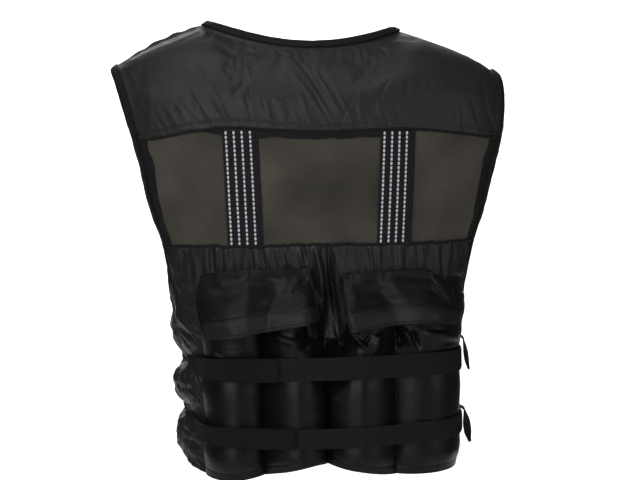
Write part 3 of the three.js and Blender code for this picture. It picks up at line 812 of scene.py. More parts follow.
def make_yoke(face, columns, rows):
    piece, u, v = flat_grid(face + "_yoke_cloth", columns, rows, (420, 140))
    if face == "front":
        u = 1 - u
    v = mix(0.004, 0.996, v)
    middle = relax(yoke(face, u, v), columns, rows, 350)
    out = grid_out(middle, columns, rows)
    x, z = middle[:, 0], middle[:, 2]
    side, below, above = np.minimum(u, 1 - u) * 400, v * 130, (1 - v) * 130
    bound = smooth(np.minimum(side, above), 2, 18) * smooth(below, -2, 7)
    puff = np.sqrt(np.clip(np.sin(np.pi * u), 0, 1) * np.clip(np.sin(np.pi * v), 0, 1))
    height = 1.1 + (1.1 + YOKE_PUFF * puff) * bound
    height += 1.3 * sewn_edge(below, x + 0.35 * below, 11, 5, 11) * smooth(below, 0.5, 5)
    height += 0.9 * sewn_edge(above, x, 9, 7, 12) * smooth(above, 7, 11)
    height += 0.9 * sewn_edge(side, z * 1.4, 9, 7, 13) * smooth(side, 7, 11)
    height += 0.9 * (crumple(x, z * 1.3, 38, 5) - 0.5) * puff
    height -= 1.2 * bump((below - 5.5) / 1.6)
    if face == "back":
        height += 0.65 * folds(x, z, YOKE_WRINKLES) * bound
    else:
        ridge = bump((x + 165) / 42) * smooth(above, 26, 2)
        height += ridge * (2.6 + 0.9 * np.sin(x / 3.2 + 2 * noise(x / 20, 0 * x, 17)))
    move_points(piece, (middle + out * height[:, None]) * MM)
    edge = np.minimum(side, np.minimum(above, below))
    settle(piece, np.clip(1.05 - edge / 10, 0, 1), growth=0.008, cap=1.5, bending=0.15)
    deepest = YOKE_SKIN + YOKE_PUFF + YOKE_LINING + 3
    finish_cloth(piece, deepest, yoke_satin, np.clip((height + YOKE_LINING) / deepest, 0.1, 1))
    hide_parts(face + "_yoke")


make_yoke("back", 260, 100)
make_yoke("front", 160, 60)

# %% [markdown]
# ## The band under the yoke
# A thin dark strip lies just below the yoke seam, over the top of the mesh. It stops at the webbing on both
# sides of the middle.

# %% Seam band
HALF_BACK = 190


def make_band(name, start, end, drop_start, drop_end):
    piece, u, v = flat_grid(name, 90, 8, (abs(end - start), 11))
    x = mix(start, end, u)
    drop = mix(drop_start, drop_end, u) * (1 + 0.12 * noise(x / 9, 0 * x, 15))
    z = yoke_seam(x / HALF_BACK) + 1 - drop * (1 - v)
    lift = 1.5 + 0.4 * noise(x / 8, z / 8, 16)
    move_points(piece, on_torso(angle_at(x, z), z, lift) * MM)
    finish_cloth(piece, 0.6, tape)


make_band("seam_band_middle", -72, 63, 8.5, 8)
make_band("seam_band_left", -133, -105, 2, 8)


def waves(x, rows):
    """Ups and downs along a line: each row is a height, a length and a seed."""
    return sum(high * noise(x / long, 0 * x, seed) for high, long, seed in rows)


def make_seam(name, grid, seam, wide, lift, swell, ripple, wander, thickness):
    """A rolled or bound edge that follows a seam across the back."""
    piece, u, v = flat_grid(name, *grid, (370, 4))
    across = (2 * u - 1) * 0.985
    z = seam(across) + waves(across * HALF_BACK, wander) + (v - 0.5) * wide
    lift = lift + swell * np.sin(np.pi * v) + waves(across * HALF_BACK, [ripple])
    move_points(piece, on_panel("back", across, z, lift) * MM)
    finish_cloth(piece, thickness, tape)


make_seam(
    "yoke_seam_cloth", (300, 8), lambda across: yoke_seam(across) + 0.6, wide=3.0, lift=1.6, swell=1.5,
    ripple=(0.35, 4, 19), wander=[(0.5, 9, 18)], thickness=1.0,
)

# %% [markdown]
# ## The mesh back
# A knitted mesh, stretched flat between the yoke and the gathered lower back. Its holes are real: the
# material lets light through them, so the inside of the vest shows faintly.

# %% Mesh back
def make_mesh():
    piece, u, v = flat_grid("back_mesh_cloth", 90, 40, (380, 120))
    across = 2 * u - 1
    z = mix(SEAM_Z - 3, yoke_seam(across) + 5, v)
    tucked = 2.2 * smooth(SEAM_Z - z, -0.3, 0.8) + 1.0 * smooth(z - yoke_seam(across), 0, 2)
    sag = 0.7 * crumple(across * HALF_BACK, z, 45, 21) * np.sin(np.pi * v)
    move_points(piece, on_panel("back", across, z, 0.5 - sag - tucked) * MM)
    finish_cloth(piece, 0.8, mesh_cloth)
    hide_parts("back_mesh")


def make_edge_tape(name, side):
    """The folded allowance that doubles the mesh along the armhole."""
    piece, u, v = flat_grid(name, 8, 60, (9, 120))
    wide = 0.064 + 0.004 * noise(v * 9, 0 * v, 26)
    across = side * (1 - (1 - u if side > 0 else u) * wide)
    z = mix(SEAM_Z - 2, yoke_seam(across) + 3, v)
    move_points(piece, on_panel("back", across, z, 0.9 + 0.3 * noise(v * 14, u, 27)) * MM)
    finish_cloth(piece, 0.9, tape)


make_mesh()
make_seam(
    "gather_seam_cloth", (260, 6), lambda across: SEAM_Z + 0.3 + 0 * across, wide=3.6, lift=1.2, swell=1.3,
    ripple=(0.4, 5, 25), wander=[(1.1, 13, 23), (0.5, 4, 24)], thickness=1.2,
)
make_edge_tape("mesh_edge_tape_left", -1)
make_edge_tape("mesh_edge_tape_right", 1)

# %% [markdown]
# ## The gathered lower back and the plain front
# The satin under the mesh is cut wider than the mesh it is sewn to, and gathered: tight pleats hang from
# the seam and open out as they go down. Between the two pockets a few run on and fade towards the upper
# belt. The front is a plain panel of the same satin.

# %% Lower back
POCKETS = {
    "left": {"outer": -0.70, "groove": -0.395, "inner": 0.004},
    "right": {"outer": 0.86, "groove": 0.43, "inner": -0.004},
}
POCKET_TOP_Z = -268.3
CLOTH = 1.0
PANEL_FOLDS = [
    (-29, -228, -20, -262, 3.0, 3.0),
    (-18, -228, -8, -300, 3.2, -3.6),
    (-10, -228, 2, -312, 3.6, 5.5),
    (2, -230, 18, -335, 2.8, -8.0),
    (10, -229, 22, -290, 3.0, 4.0),
    (-44, -228, -36, -256, 2.0, 2.2),
    (-52, -228, -45, -252, 1.6, -1.8),
    (-160, -236, -150, -300, 3.0, -2.5),
    (-166, -232, -158, -262, 3.0, 2.0),
    (124, -232, 128, -272, 3.0, 3.4),
    (128, -270, 147, -296, 2.8, 2.6),
]


def valley(x, z):
    """The middle of the back is drawn in between the pockets, below the flaps' top edge."""
    return 19 * bump((x - 4) / 15) * smooth(z, -262, -306) * smooth(z, -400, -350)


def gathers(x, z, angle):
    """Pleats under the mesh seam: fine at the seam, fewer and softer further down."""
    down = np.clip((SEAM_Z - z) / 45, 0, None)
    between = bump(x / 19)
    fade = np.where(z > SEAM_Z, 0, np.exp(-(down**2) * 0.9) + between * smooth(z, -370, -280) * 0.4)
    start = smooth(SEAM_Z - z, -1, 5)
    lean = x - 0.12 * (SEAM_Z - z)
    fine = np.sin(lean / 1.15 + 3.5 * noise(lean / 14, z / 60, 31)) * np.exp(-down * 2.2)
    calm = 1 - 0.8 * bump(x / 26) * smooth(z, -252, -275)
    mid = np.sin(lean / 2.1 + 3.2 * noise(lean / 22, z / 70, 32)) * calm
    broad = noise(lean / 8 + 0.4 * noise(x / 20, z / 30, 33), z / 80, 34)
    sides = 1 - 0.5 * smooth(np.abs(angle), 60, 80)
    pleats = fade * sides * (0.7 * fine + 1.15 * mid + 2.0 * broad)
    return start * (pleats + folds(x, z, PANEL_FOLDS)) - valley(x, z)


def side_height(angle, z):
    """How far the cloth stands off the torso at the sides, where it bunches up over the belts."""
    lumpy = bump((np.abs(angle) - 92) / 26) * smooth(z, -245, -290)
    height = CLOTH + side_bulge(angle, z)
    height += 4.2 * (crumple(angle * 2.6, z * 1.1, 24, 41) - 0.55) * lumpy
    return height + 1.6 * (crumple(angle * 2.6 + z * 0.5, z * 0.8, 9, 43) - 0.5) * lumpy


PANELS = {
    "back": {"grid": (420, 150), "height": 240, "body": 0.74, "underarm": 0.26},
    "front": {"grid": (170, 130), "height": 350, "body": 0.52, "underarm": 0.18},
}


def make_panel(face):
    panel = PANELS[face]
    piece, u, v = flat_grid(face + "_panel_cloth", *panel["grid"], (470, panel["height"]))
    across = (2 * u - 1) * 0.998
    if face == "front":
        across = -across
    lower, arc = panel["body"], panel["underarm"]
    t = np.clip((v - lower) / arc, 0, 1)
    turned = np.abs(across) * 90
    hem_angle = np.where(across < 0, -1, 1) * (turned if face == "back" else 180 - turned)
    low_z = mix(hem(hem_angle), UNDERARM_Z, np.clip(v / lower, 0, 1))
    z = np.where(v < lower, low_z, UNDERARM_Z + UNDERARM_DROP * (1 - np.cos(np.pi / 2 * t)))
    if face == "front":
        above = np.clip((v - lower - arc) / (1 - lower - arc), 0, 1)
        z = np.where(v > lower + arc, mix(SEAM_Z, FRONT_SEAM_Z + 7, above), z)
    else:
        z = np.minimum(z, SEAM_Z - 0.3)
    angle = panel_angle(face, across, z)
    base = on_panel(face, across, z)
    height = side_height(angle, z)
    if face == "back":
        height += gathers(base[:, 0], z, angle)
    else:
        height += 1.2 * (crumple(base[:, 0], z * 0.45, 42, 42) - 0.5)
    height -= 0.7 * bump((z - hem(angle) - 11) / 1.3)
    move_points(piece, (base + torso_out(angle, z) * height[:, None]) * MM)
    edge = np.minimum(np.minimum(u, 1 - u) * 450, np.minimum(v, 1 - v) * 220)
    settle(piece, np.clip(1.05 - edge / 6, 0, 1), growth=0.012, cap=2.0)
    finish_cloth(piece, 2.0, panel_satin)
    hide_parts(face + "_panel")
    return piece


back_panel, front_panel = (make_panel(face) for face in PANELS)

# %% [markdown]
# ## The closing seams
# Front and back are sewn together over the shoulders and down the sides. A tape doubles each of these
# seams on the inside. It lies within the thickness of the cloth, so it only shows where a seam opens.

# %% Seam tapes
SIDE_TAPE_DEGREES, SHOULDER_TAPE_SHARE = 7, 0.05


def make_shoulder_tape(name, start, end):
    piece, u, v = flat_grid(name, 60, 9, (120, 12))
    along, over = mix(start, end, u), (2 * v - 1) * SHOULDER_TAPE_SHARE
    behind = (over < 0)[:, None]
    place = np.where(behind, yoke("back", along, 1 + over), yoke("front", along, 1 - over))
    out = grid_out(place, 60, 9)
    move_points(piece, (place + out * 0.9) * MM)
    finish_cloth(piece, 0.9, tape)


def make_side_tape(name, side):
    piece, u, v = flat_grid(name, 10, 110, (12, 190))
    angle = side * 90 + (u - 0.5) * SIDE_TAPE_DEGREES
    z = mix(hem(angle) + 1, UNDERARM_Z - 1, v)
    lift = side_height(angle, z) - 0.5
    move_points(piece, on_torso(angle, z, lift) * MM)
    finish_cloth(piece, 0.9, tape)


make_shoulder_tape("shoulder_tape_left", 0.01, NECK_FROM - 0.01)
make_shoulder_tape("shoulder_tape_right", NECK_TO + 0.01, 0.99)
make_side_tape("side_tape_left", -1)
make_side_tape("side_tape_right", 1)

# %% [markdown]
# ## The weight pockets
# Each pocket is one piece of satin sewn down in the middle and at both sides, so that it makes two
# tubes. Sand-filled bags fill them out. The stitched groove stays deep and dark, small creases run out
# from it, and the two belts press a shallow waist into every tube. Places across a panel are typed as a
# share: 0 is the middle of the back and 1 the side, about 150 mm round from there.

# %% Pockets
COLUMN, POCKET_SKIN, COLUMN_ROUND = 23, 2.5, 0.8
HALF_ROUND = 150
POCKET_DEPTH = 34
BELTS = {
    "upper": table(
        "angle z",
        (-180, -352), (-90, -353), (-65, -357), (-40, -359.5), (0, -359.5), (60, -358.5), (90, -356),
        (180, -352),
    ),
    "lower": table(
        "angle z",
        (-180, -409), (-90, -411), (-72, -421), (-55, -429), (-25, -433), (0, -434), (35, -432.5), (60, -430),
        (90, -423), (180, -409),
    ),
}
belt_z = {name: through(rows, "angle", "z") for name, rows in BELTS.items()}


def column_share(pocket, across):
    edge = np.where(np.abs(across) > abs(pocket["groove"]), pocket["outer"], pocket["inner"])
    return np.clip((across - edge) / (pocket["groove"] - edge), 0, 1)


def mouth_taper(z):
    return mix(1, 0.15, smooth(z, POCKET_TOP_Z - 34, POCKET_TOP_Z))


def collapsed(across, z):
    """How much of its fill a tube has: the two mouths sink in where they meet in the middle."""
    corner = smooth(z, -358, -325) * (1 - smooth(np.abs(across) * HALF_ROUND, 14, 34))
    return 1 - 0.85 * corner


def pocket_top(across):
    """The mouths hang lower in the middle, where the two flaps leave them open."""
    return POCKET_TOP_Z - 62 * (1 - smooth(np.abs(across) * HALF_ROUND, 14, 32))


def pocket_height(pocket, across, z):
    angle = across * 90
    share = column_share(pocket, across)
    crown = np.clip(np.sin(np.pi * share), 0, 1) ** COLUMN_ROUND
    banded = 1.8 * sum(bump((z - height(angle)) / 17) for height in belt_z.values())
    foot = mix(0.6, 1, smooth(z, -480, -455))
    outer = 1 - 0.25 * smooth(np.abs(across), 0.55, 0.8)
    filled = (COLUMN - banded) * crown * collapsed(across, z) * outer
    skin = POCKET_SKIN * smooth(np.abs(across) * HALF_ROUND, -1, 5)
    return skin + filled * foot * mouth_taper(z)


MOUTH_FOLDS = [
    (-64, -322, -22, -334, 4.5, 4.5),
    (-44, -312, 6, -319, 2.6, 8.5),
    (-36, -320, 0, -328, 3.2, -5.0),
    (-22, -338, -4, -324, 3.0, 4.5),
    (-122, -338, -106, -350, 3.5, 3.5),
    (24, -322, 46, -340, 3.0, 5.5),
    (48, -322, 34, -342, 2.4, -4.5),
    (58, -320, 52, -344, 4.5, 5.0),
    (79, -314, 84, -344, 3.0, -7.0),
    (86, -316, 94, -338, 3.4, 6.5),
    (96, -320, 102, -344, 2.6, -6.0),
    (104, -322, 146, -331, 6.0, 5.0),
    (110, -342, 140, -339, 2.5, 2.5),
]
FLAP_LINE = ((-127, -7, 24, 147), (-326, -308, -319, -319))


def make_pocket(side):
    pocket = POCKETS[side]
    low, high = sorted((pocket["outer"], pocket["inner"]))
    wide = 170 if side == "left" else 210
    piece, u, v = flat_grid("weight_pocket_cloth_" + side, 220, 190, (wide, 215))
    across = mix(low, high, u)
    z = mix(hem(across * 90) + 0.5, pocket_top(across), v)
    angle = panel_angle("back", across, z)
    base, out = on_panel("back", across, z), torso_out(angle, z)
    height = CLOTH + 0.3 + side_bulge(angle, z) * 0.5 + pocket_height(pocket, across, z)
    x = across * HALF_ROUND
    beside = np.abs(x - pocket["groove"] * HALF_ROUND)
    edge = np.minimum(x - low * HALF_ROUND, high * HALF_ROUND - x)
    inside = smooth(edge, 0, 10)
    height += 0.4 * np.exp(-beside / 12) * noise(beside / 40, z / 10, 51) * smooth(beside, 0, 4)
    height += 0.5 * np.exp(-edge / 14) * noise(edge / 40, z / 9, 52) * smooth(edge, 0, 3)
    height += 0.6 * (crumple(x * 1.2, z * 0.35, 30, 53) - 0.5) * inside * smooth(z, -480, -470)
    height += 1.5 * (crumple(x * 1.1, z, 19, 54) - 0.45) * inside * smooth(z, -352, -325)
    seen_x = base[:, 0] * 1.08
    flap_edge = np.interp(seen_x, *FLAP_LINE)
    open_mouth = smooth(z, flap_edge + 4, flap_edge - 7) * smooth(z, -356, -335)
    height += folds(seen_x, z, MOUTH_FOLDS) * smooth(edge, 0, 4) * open_mouth
    drawn_in = valley(base[:, 0], z)
    height = np.maximum(height, CLOTH + 0.6) - drawn_in - 0.8 * bump((z - hem(angle) - 10) / 1.2)
    move_points(piece, (base + out * height[:, None]) * MM)
    depth = np.clip((height + drawn_in - CLOTH - 0.3) / POCKET_DEPTH, 0.02, 1)
    finish_cloth(piece, POCKET_DEPTH, pocket_satin, depth)
    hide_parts("weight_pocket_" + side)
    return piece


pockets = [make_pocket(side) for side in POCKETS]

# %% [markdown]
# ## What lies under the flaps
# The flaps and belts lie over a lumpy body. To lay them on it, the body is measured first: how far it
# reaches from its upright axis, for every direction and height, with the grooves bridged over as a
# stiffer cloth would bridge them.

# %% Body reach
ANGLES = np.arange(-120.0, 121.0, 1.0)
HEIGHT_STEP = 2.0
HEIGHTS = np.arange(-492.0, -215.0, HEIGHT_STEP)


def blur(grid, steps, axis):
    kernel = np.exp(-np.linspace(-2, 2, 2 * steps + 1) ** 2)
    kernel /= kernel.sum()
    pad = [(steps, steps) if a == axis else (0, 0) for a in (0, 1)]
    padded = np.pad(grid, pad, mode="edge")
    return np.apply_along_axis(lambda line: np.convolve(line, kernel, "valid"), axis, padded)


def body_reach(pieces, bridge=7, soften=4):
    reach = np.zeros((len(ANGLES), len(HEIGHTS)))
    for piece in pieces:
        co = points_of(piece) / MM
        i = np.round(angle_of(co) - ANGLES[0]).astype(int)
        j = np.round((co[:, 2] - HEIGHTS[0]) / HEIGHT_STEP).astype(int)
        good = (i >= 0) & (i < len(ANGLES)) & (j >= 0) & (j < len(HEIGHTS))
        np.maximum.at(reach, (i[good], j[good]), np.hypot(co[good, 0], co[good, 1]))
    wide = reach.copy()
    for step in range(-bridge, bridge + 1):
        wide = np.maximum(wide, np.roll(reach, step, axis=0))
    return blur(blur(wide, soften, 0), soften, 1)


def reach_at(reach, angle, z):
    i = np.clip((angle - ANGLES[0]), 0, len(ANGLES) - 1.001)
    j = np.clip((z - HEIGHTS[0]) / HEIGHT_STEP, 0, len(HEIGHTS) - 1.001)
    i0, j0 = i.astype(int), j.astype(int)
    low = mix(reach[i0, j0], reach[i0 + 1, j0], i - i0)
    high = mix(reach[i0, j0 + 1], reach[i0 + 1, j0 + 1], i - i0)
    return mix(low, high, j - j0)


def laid_on(reach, x, z, lift):
    """Points at x and z that lie on the body, lifted off it."""
    tries = np.arange(-84.0, 84.1, 0.5)
    angles = np.broadcast_to(tries, (len(x), len(tries)))
    away = reach_at(reach, angles, np.repeat(z[:, None], len(tries), 1)) + lift[:, None]
    sideways = away * np.sin(np.radians(angles))
    middle = len(tries) // 2
    sideways[:, middle:] = np.maximum.accumulate(sideways[:, middle:], axis=1)
    sideways[:, : middle + 1] = np.minimum.accumulate(sideways[:, middle::-1], axis=1)[:, ::-1]
    angle = np.array([np.interp(x[n], sideways[n], tries) for n in range(len(x))])
    far = reach_at(reach, angle, z) + lift
    turned = np.radians(angle)
    return np.column_stack([far * np.sin(turned), -far * np.cos(turned), z])


body = body_reach([*pockets, back_panel])
print("the body reaches at most", round(float(body.max()), 1), "mm from its axis")

# %% [markdown]
# ## The pocket flaps
# A flap is a flat lined piece that is sewn on above the pocket's mouth and falls over the filled tubes.
# Its lower third is stiff, because the closing tape is sewn inside it, so it stands off and catches the
# light, and its satin there is painted brighter as well: a painted highlight. Its edge is turned and
# stitched. The four edges are typed as they look from behind, and the cloth between them is filled in
# from the edges. How far the lower edge stands off is typed as "falls".

# %% Flaps
FLAP_THICKNESS = 2.2
FLAP_WIDTH, FLAP_HEIGHT, FLAP_BAND = 122, 66, 20
FLAPS = {
    "left": {
        "top": [(-131, -259), (-109, -255), (-84, -252.5), (-50, -252), (-17, -252)],
        "bottom": [(-127, -326.5), (-98, -323.5), (-68, -318.5), (-38, -313), (-7, -308)],
        "left": [(-127, -326.5), (-133, -312), (-135, -296), (-135, -276), (-131, -259)],
        "right": [(-7, -308), (-9, -295), (-12, -282), (-15, -266), (-17, -252)],
        "folds": [
            (-86, -254, -84, -300, 7, 2.6), (-44, -280, -20, -254, 4, 2.2),
            (-114, -262, -108, -296, 12, -3.6), (-62, -256, -58, -284, 11, -3.6),
            (-100, -300, -88, -318, 7, -1.8), (-128, -300, -112, -322, 5, 1.6),
        ],
        "falls": 4.0, "flat": (0.130, 0.072),
    },
    "right": {
        "top": [(18, -260), (48, -257.5), (78, -257), (114, -258.5), (138, -274)],
        "bottom": [(24, -319.5), (52, -316.5), (85, -313), (118, -313.5), (147, -319.5)],
        "left": [(24, -319.5), (20, -305), (18, -290), (17, -275), (18, -260)],
        "right": [(147, -319.5), (147, -308), (145.5, -297), (142, -285), (138, -274)],
        "folds": [
            (50, -262, 64, -292, 7, -2.2), (66, -258, 84, -288, 6, 1.8), (24, -268, 34, -296, 5, 1.6),
            (100, -262, 92, -290, 8, -2.0), (116, -262, 143, -296, 3, 4.0), (110, -276, 138, -300, 4, -2.2),
        ],
        "falls": 6.2, "flat": (0.142, 0.072),
    },
}


def along_edge(points, t):
    points = np.array(points, float)
    rows = [{"t": n / (len(points) - 1), "x": x, "z": z} for n, (x, z) in enumerate(points)]
    return np.stack([through(rows, "t", "x")(t), through(rows, "t", "z")(t)], 1)


def between_edges(edges, u, v):
    """Fill in the cloth between four edges."""
    top, bottom = along_edge(edges["top"], u), along_edge(edges["bottom"], u)
    left, right = along_edge(edges["left"], v), along_edge(edges["right"], v)
    u, v = u[:, None], v[:, None]
    corners = [np.array(edges[name][end], float) for name, end in
               (("bottom", 0), ("bottom", -1), ("top", 0), ("top", -1))]
    low, high = mix(corners[0], corners[1], u), mix(corners[2], corners[3], u)
    return mix(bottom, top, v) + mix(left, right, u) - mix(low, high, v)


def make_flap(side):
    flap = FLAPS[side]
    piece, u, v = flat_grid("pocket_flap_cloth_" + side, 150, 90, (125, 68))
    x, z = between_edges(flap, u, v).T
    from_top, from_side = (1 - v) * FLAP_HEIGHT, np.minimum(u, 1 - u) * FLAP_WIDTH
    border = np.minimum(from_side, v * FLAP_HEIGHT)
    lift = 3.2 + flap["falls"] * smooth(1 - v, 0.55, 1.0)
    lift += 0.8 * sewn_edge(from_top, x, 9, 6, 61) * smooth(from_top, 0, 3)
    lift += 0.6 * (crumple(x, z, 34, 62) - 0.5) * smooth(v, 0.3, 0.5) * smooth(from_top, 0, 12)
    lift += folds(x, z, flap["folds"]) * smooth(from_top, 0, 5) * smooth(border, 0, 6)
    band = v * FLAP_HEIGHT - FLAP_BAND
    lift += 0.7 * (1 - smooth(band, -1, 1)) * smooth(from_side, 5, 8) - 1.1 * bump(band / 1.3)
    lift += 0.6 * bump((border - 1.2) / 1.6) - 1.1 * bump((border - 3.8) / 1.1)
    lift -= 0.9 * bump((from_side - 8) / 1.1) * (1 - smooth(band, -2, 0))
    lift *= 1 - 0.7 * smooth(x, 118, 146)
    move_points(piece, laid_on(body, x, z, lift) * MM)
    finish_cloth(piece, FLAP_THICKNESS, flap_satin)
    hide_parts("pocket_flap_" + side)


for side in FLAPS:
    make_flap(side)

# %% [markdown]
# ## The webbing strips
# Two lengths of 38 mm webbing are sewn over the mesh. Four rows of small white dashes are woven into
# each. A dash is modelled once and copied along the rows.

# %% Strips
STRIPS = {
    "left": {"top_x": -89, "top_z": -105, "bottom_x": -84},
    "right": {"top_x": 80, "top_z": -108, "bottom_x": 75},
}
WEBBING_WIDTH = 38


def strip_surface(side, u, v, lift):
    strip = STRIPS[side]
    x = mix(strip["bottom_x"], strip["top_x"], v) + (u - 0.5) * WEBBING_WIDTH
    z = mix(SEAM_Z - 0.5, strip["top_z"] + 1, v)
    return on_torso(angle_at(x, z), z, lift)


def make_strip(side):
    piece, u, v = flat_grid("reflective_strip_cloth_" + side, 48, 130, (WEBBING_WIDTH, 124))
    edge = np.minimum(u, 1 - u) * WEBBING_WIDTH
    wave = 0.4 * noise(v * 5, 0 * v, 71 + len(side)) + 0.12 * np.sin(v * 124 * 2.6)
    lift = 2.1 + wave - 0.35 * np.exp(-edge / 0.8)
    move_points(piece, strip_surface(side, u, v, lift) * MM)
    finish_cloth(piece, 1.1, webbing)
    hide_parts("reflective_strip_" + side)


def one_dash():
    """The points and faces of a dash with rounded ends, from -1 to 1 each way."""
    bpy.ops.object.select_all(action="DESELECT")
    bpy.ops.mesh.primitive_uv_sphere_add(segments=8, ring_count=4, radius=1)
    dash = bpy.context.object
    shape = points_of(dash)
    faces = [tuple(p.vertices) for p in dash.data.polygons]
    bpy.data.objects.remove(dash)
    return np.sign(shape) * np.abs(shape) ** 0.7, faces


DASH_SHAPE, DASH_FACES = one_dash()


def row_of(name, places, alongs, outs, size, material):
    """Copies of the dash at the places, each turned along its row, as one object."""
    asides = np.cross(outs, alongs)
    spread = np.stack([alongs, asides, outs], 1) * np.array(size)[None, :, None] / 2
    points = places[:, None, :] + np.einsum("pk,nkc->npc", DASH_SHAPE, spread)
    step = len(DASH_SHAPE)
    faces = [[i + n * step for i in face] for n in range(len(places)) for face in DASH_FACES]
    mesh = bpy.data.meshes.new(name)
    mesh.from_pydata((points.reshape(-1, 3) * MM).tolist(), [], faces)
    mesh.shade_smooth()
    mesh.materials.append(material)
    piece = bpy.data.objects.new(name, mesh)
    bpy.context.collection.objects.link(piece)
    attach(piece, "root")
    print(name, "has", len(places), "copies")
    return piece


DASH_ROWS = {"left": (0.11, 0.33, 0.55, 0.78), "right": (0.11, 0.33, 0.54, 0.75)}
DASH_PITCH, DASH_SIZE = 4.55, (3.9, 2.5, 1.0)


def make_dashes(side):
    count = int(120 / DASH_PITCH)
    u, v = (g.ravel() for g in np.meshgrid(DASH_ROWS[side], mix(0.015, 1, (np.arange(count) + 0.5) / count)))
    lift = 2.35 + 0.4 * noise(v * 5, 0 * v, 71 + len(side))
    here = strip_surface(side, u, v, lift)
    along = unit(strip_surface(side, u, v + 0.01, lift) - here)
    aside = unit(strip_surface(side, u + 0.01, v, lift) - here)
    out = unit(np.cross(aside, along))
    piece = row_of("white_dashes_" + side, here, along, out, DASH_SIZE, white_dash)


for side in STRIPS:
    make_strip(side)
    make_dashes(side)

# %% [markdown]
# ## The elastic belts
# Each belt is a loop of 25 mm elastic, pulled tight over the pockets, so from above it is the taut line
# round everything that it touches. Its ribs stand across it. The closing end is smooth hook tape and
# lies on top, over the left pocket.

# %% Belt outline
BELT_THICKNESS, BELT_OFF = 2.0, 0.6
PINCH_ANGLE, PINCH = -86, 0.72
BELT_WIDTH = {"upper": 24.5, "lower": 21.5}


def belt_taper(angle):
    """How much of its width the belt keeps where it is bunched up at the left side."""
    return 1 - PINCH * bump((angle - PINCH_ANGLE) / 25)


def taut_round(points):
    """The convex outline of points seen from above, in order."""
    points = sorted(map(tuple, np.round(points, 3)))

    def half(run):
        hull = []
        for p in run:
            while len(hull) > 1:
                (ax, ay), (bx, by) = hull[-2], hull[-1]
                if (bx - ax) * (p[1] - ay) - (by - ay) * (p[0] - ax) > 0:
                    break
                hull.pop()
            hull.append(p)
        return hull[:-1]

    return np.array(half(points) + half(points[::-1]))


def columns_at(where, at, values):
    return np.stack([np.interp(where, at, column) for column in values.T], 1)


def round_loop(count, points, *others):
    """Evenly spaced points round a closed line, whatever else belongs to them, and the line's length."""
    closed = [np.vstack([values, values[:1]]) for values in (points, *others)]
    steps = np.linalg.norm(np.diff(closed[0], axis=0), axis=1)
    length = np.concatenate([[0], np.cumsum(steps)])
    where = np.linspace(0, length[-1], count, endpoint=False)
    return [columns_at(where, length, values) for values in closed], length[-1]


def soften_loop(path, reach=15):
    kernel = np.exp(-np.linspace(-2, 2, 2 * reach + 1) ** 2)
    ring = np.vstack([path[-reach:], path, path[:reach]])
    return np.stack([np.convolve(column, kernel / kernel.sum(), "valid") for column in ring.T], 1)


def belt_path(name, count=1500):
    """The belt's line from above, taut round the body but drawn in at the left, and the way off it."""
    height = belt_z[name]
    found = []
    for piece in [*pockets, back_panel, front_panel]:
        co = points_of(piece) / MM
        angle = angle_of(co)
        near = np.abs(co[:, 2] - height(angle)) < BELT_WIDTH[name] / 2 * belt_taper(angle)
        found.append(co[near][:, :2])
    found = np.concatenate(found)
    hull = taut_round(found)
    start = np.argmin(np.abs(hull[:, 0]) + (hull[:, 1] < 0) * 1000)
    (path,), length = round_loop(count, np.roll(hull, -start, axis=0))
    path = soften_loop(path)
    away = np.hypot(*path.T)
    body_away = np.zeros(181)
    np.maximum.at(body_away, np.round(angle_of(found) / 2).astype(int) + 90, np.hypot(*found.T))
    body_away = np.convolve(body_away, [0.2, 0.6, 0.2], "same")
    body_here = np.interp(angle_of(path) / 2 + 90, np.arange(181), body_away)
    gap = np.clip(away - body_here + 3.5, 0, 13)
    path *= (1 - bump((angle_of(path) - PINCH_ANGLE) / 19) * gap / away)[:, None]
    ahead = np.roll(path, -1, axis=0) - np.roll(path, 1, axis=0)
    return path, unit(np.stack([ahead[:, 1], -ahead[:, 0]], 1)), length


# %% Belts
RIB_PITCH = 2.6


def make_belt(name):
    path, out, length = belt_path(name)
    count, wide = len(path), BELT_WIDTH[name]
    piece, u, v = flat_grid("belt_cloth_" + name, count, 10, (length, wide))
    step = np.round(u * count).astype(int) % count
    angle = angle_of(path)[step]
    ribs = np.sin(2 * np.pi * u * round(length / RIB_PITCH))
    edge = np.minimum(v, 1 - v) * wide
    height = BELT_OFF + BELT_THICKNESS + 0.32 * ribs * smooth(edge, 0.6, 2.2) - 0.5 * np.exp(-edge / 0.9)
    flat = path[step] + out[step] * height[:, None]
    z = belt_z[name](angle) + (v - 0.5) * wide * belt_taper(angle) + waves(angle, [(0.5, 14, 81)])
    move_points(piece, np.column_stack([flat, z]) * MM)
    weld(piece, 0.00002)
    finish_cloth(piece, 1.6, elastic)
    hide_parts("belt_" + name)
    return path, out


TABS = {"upper": (-138, -52), "lower": (-138, -36)}


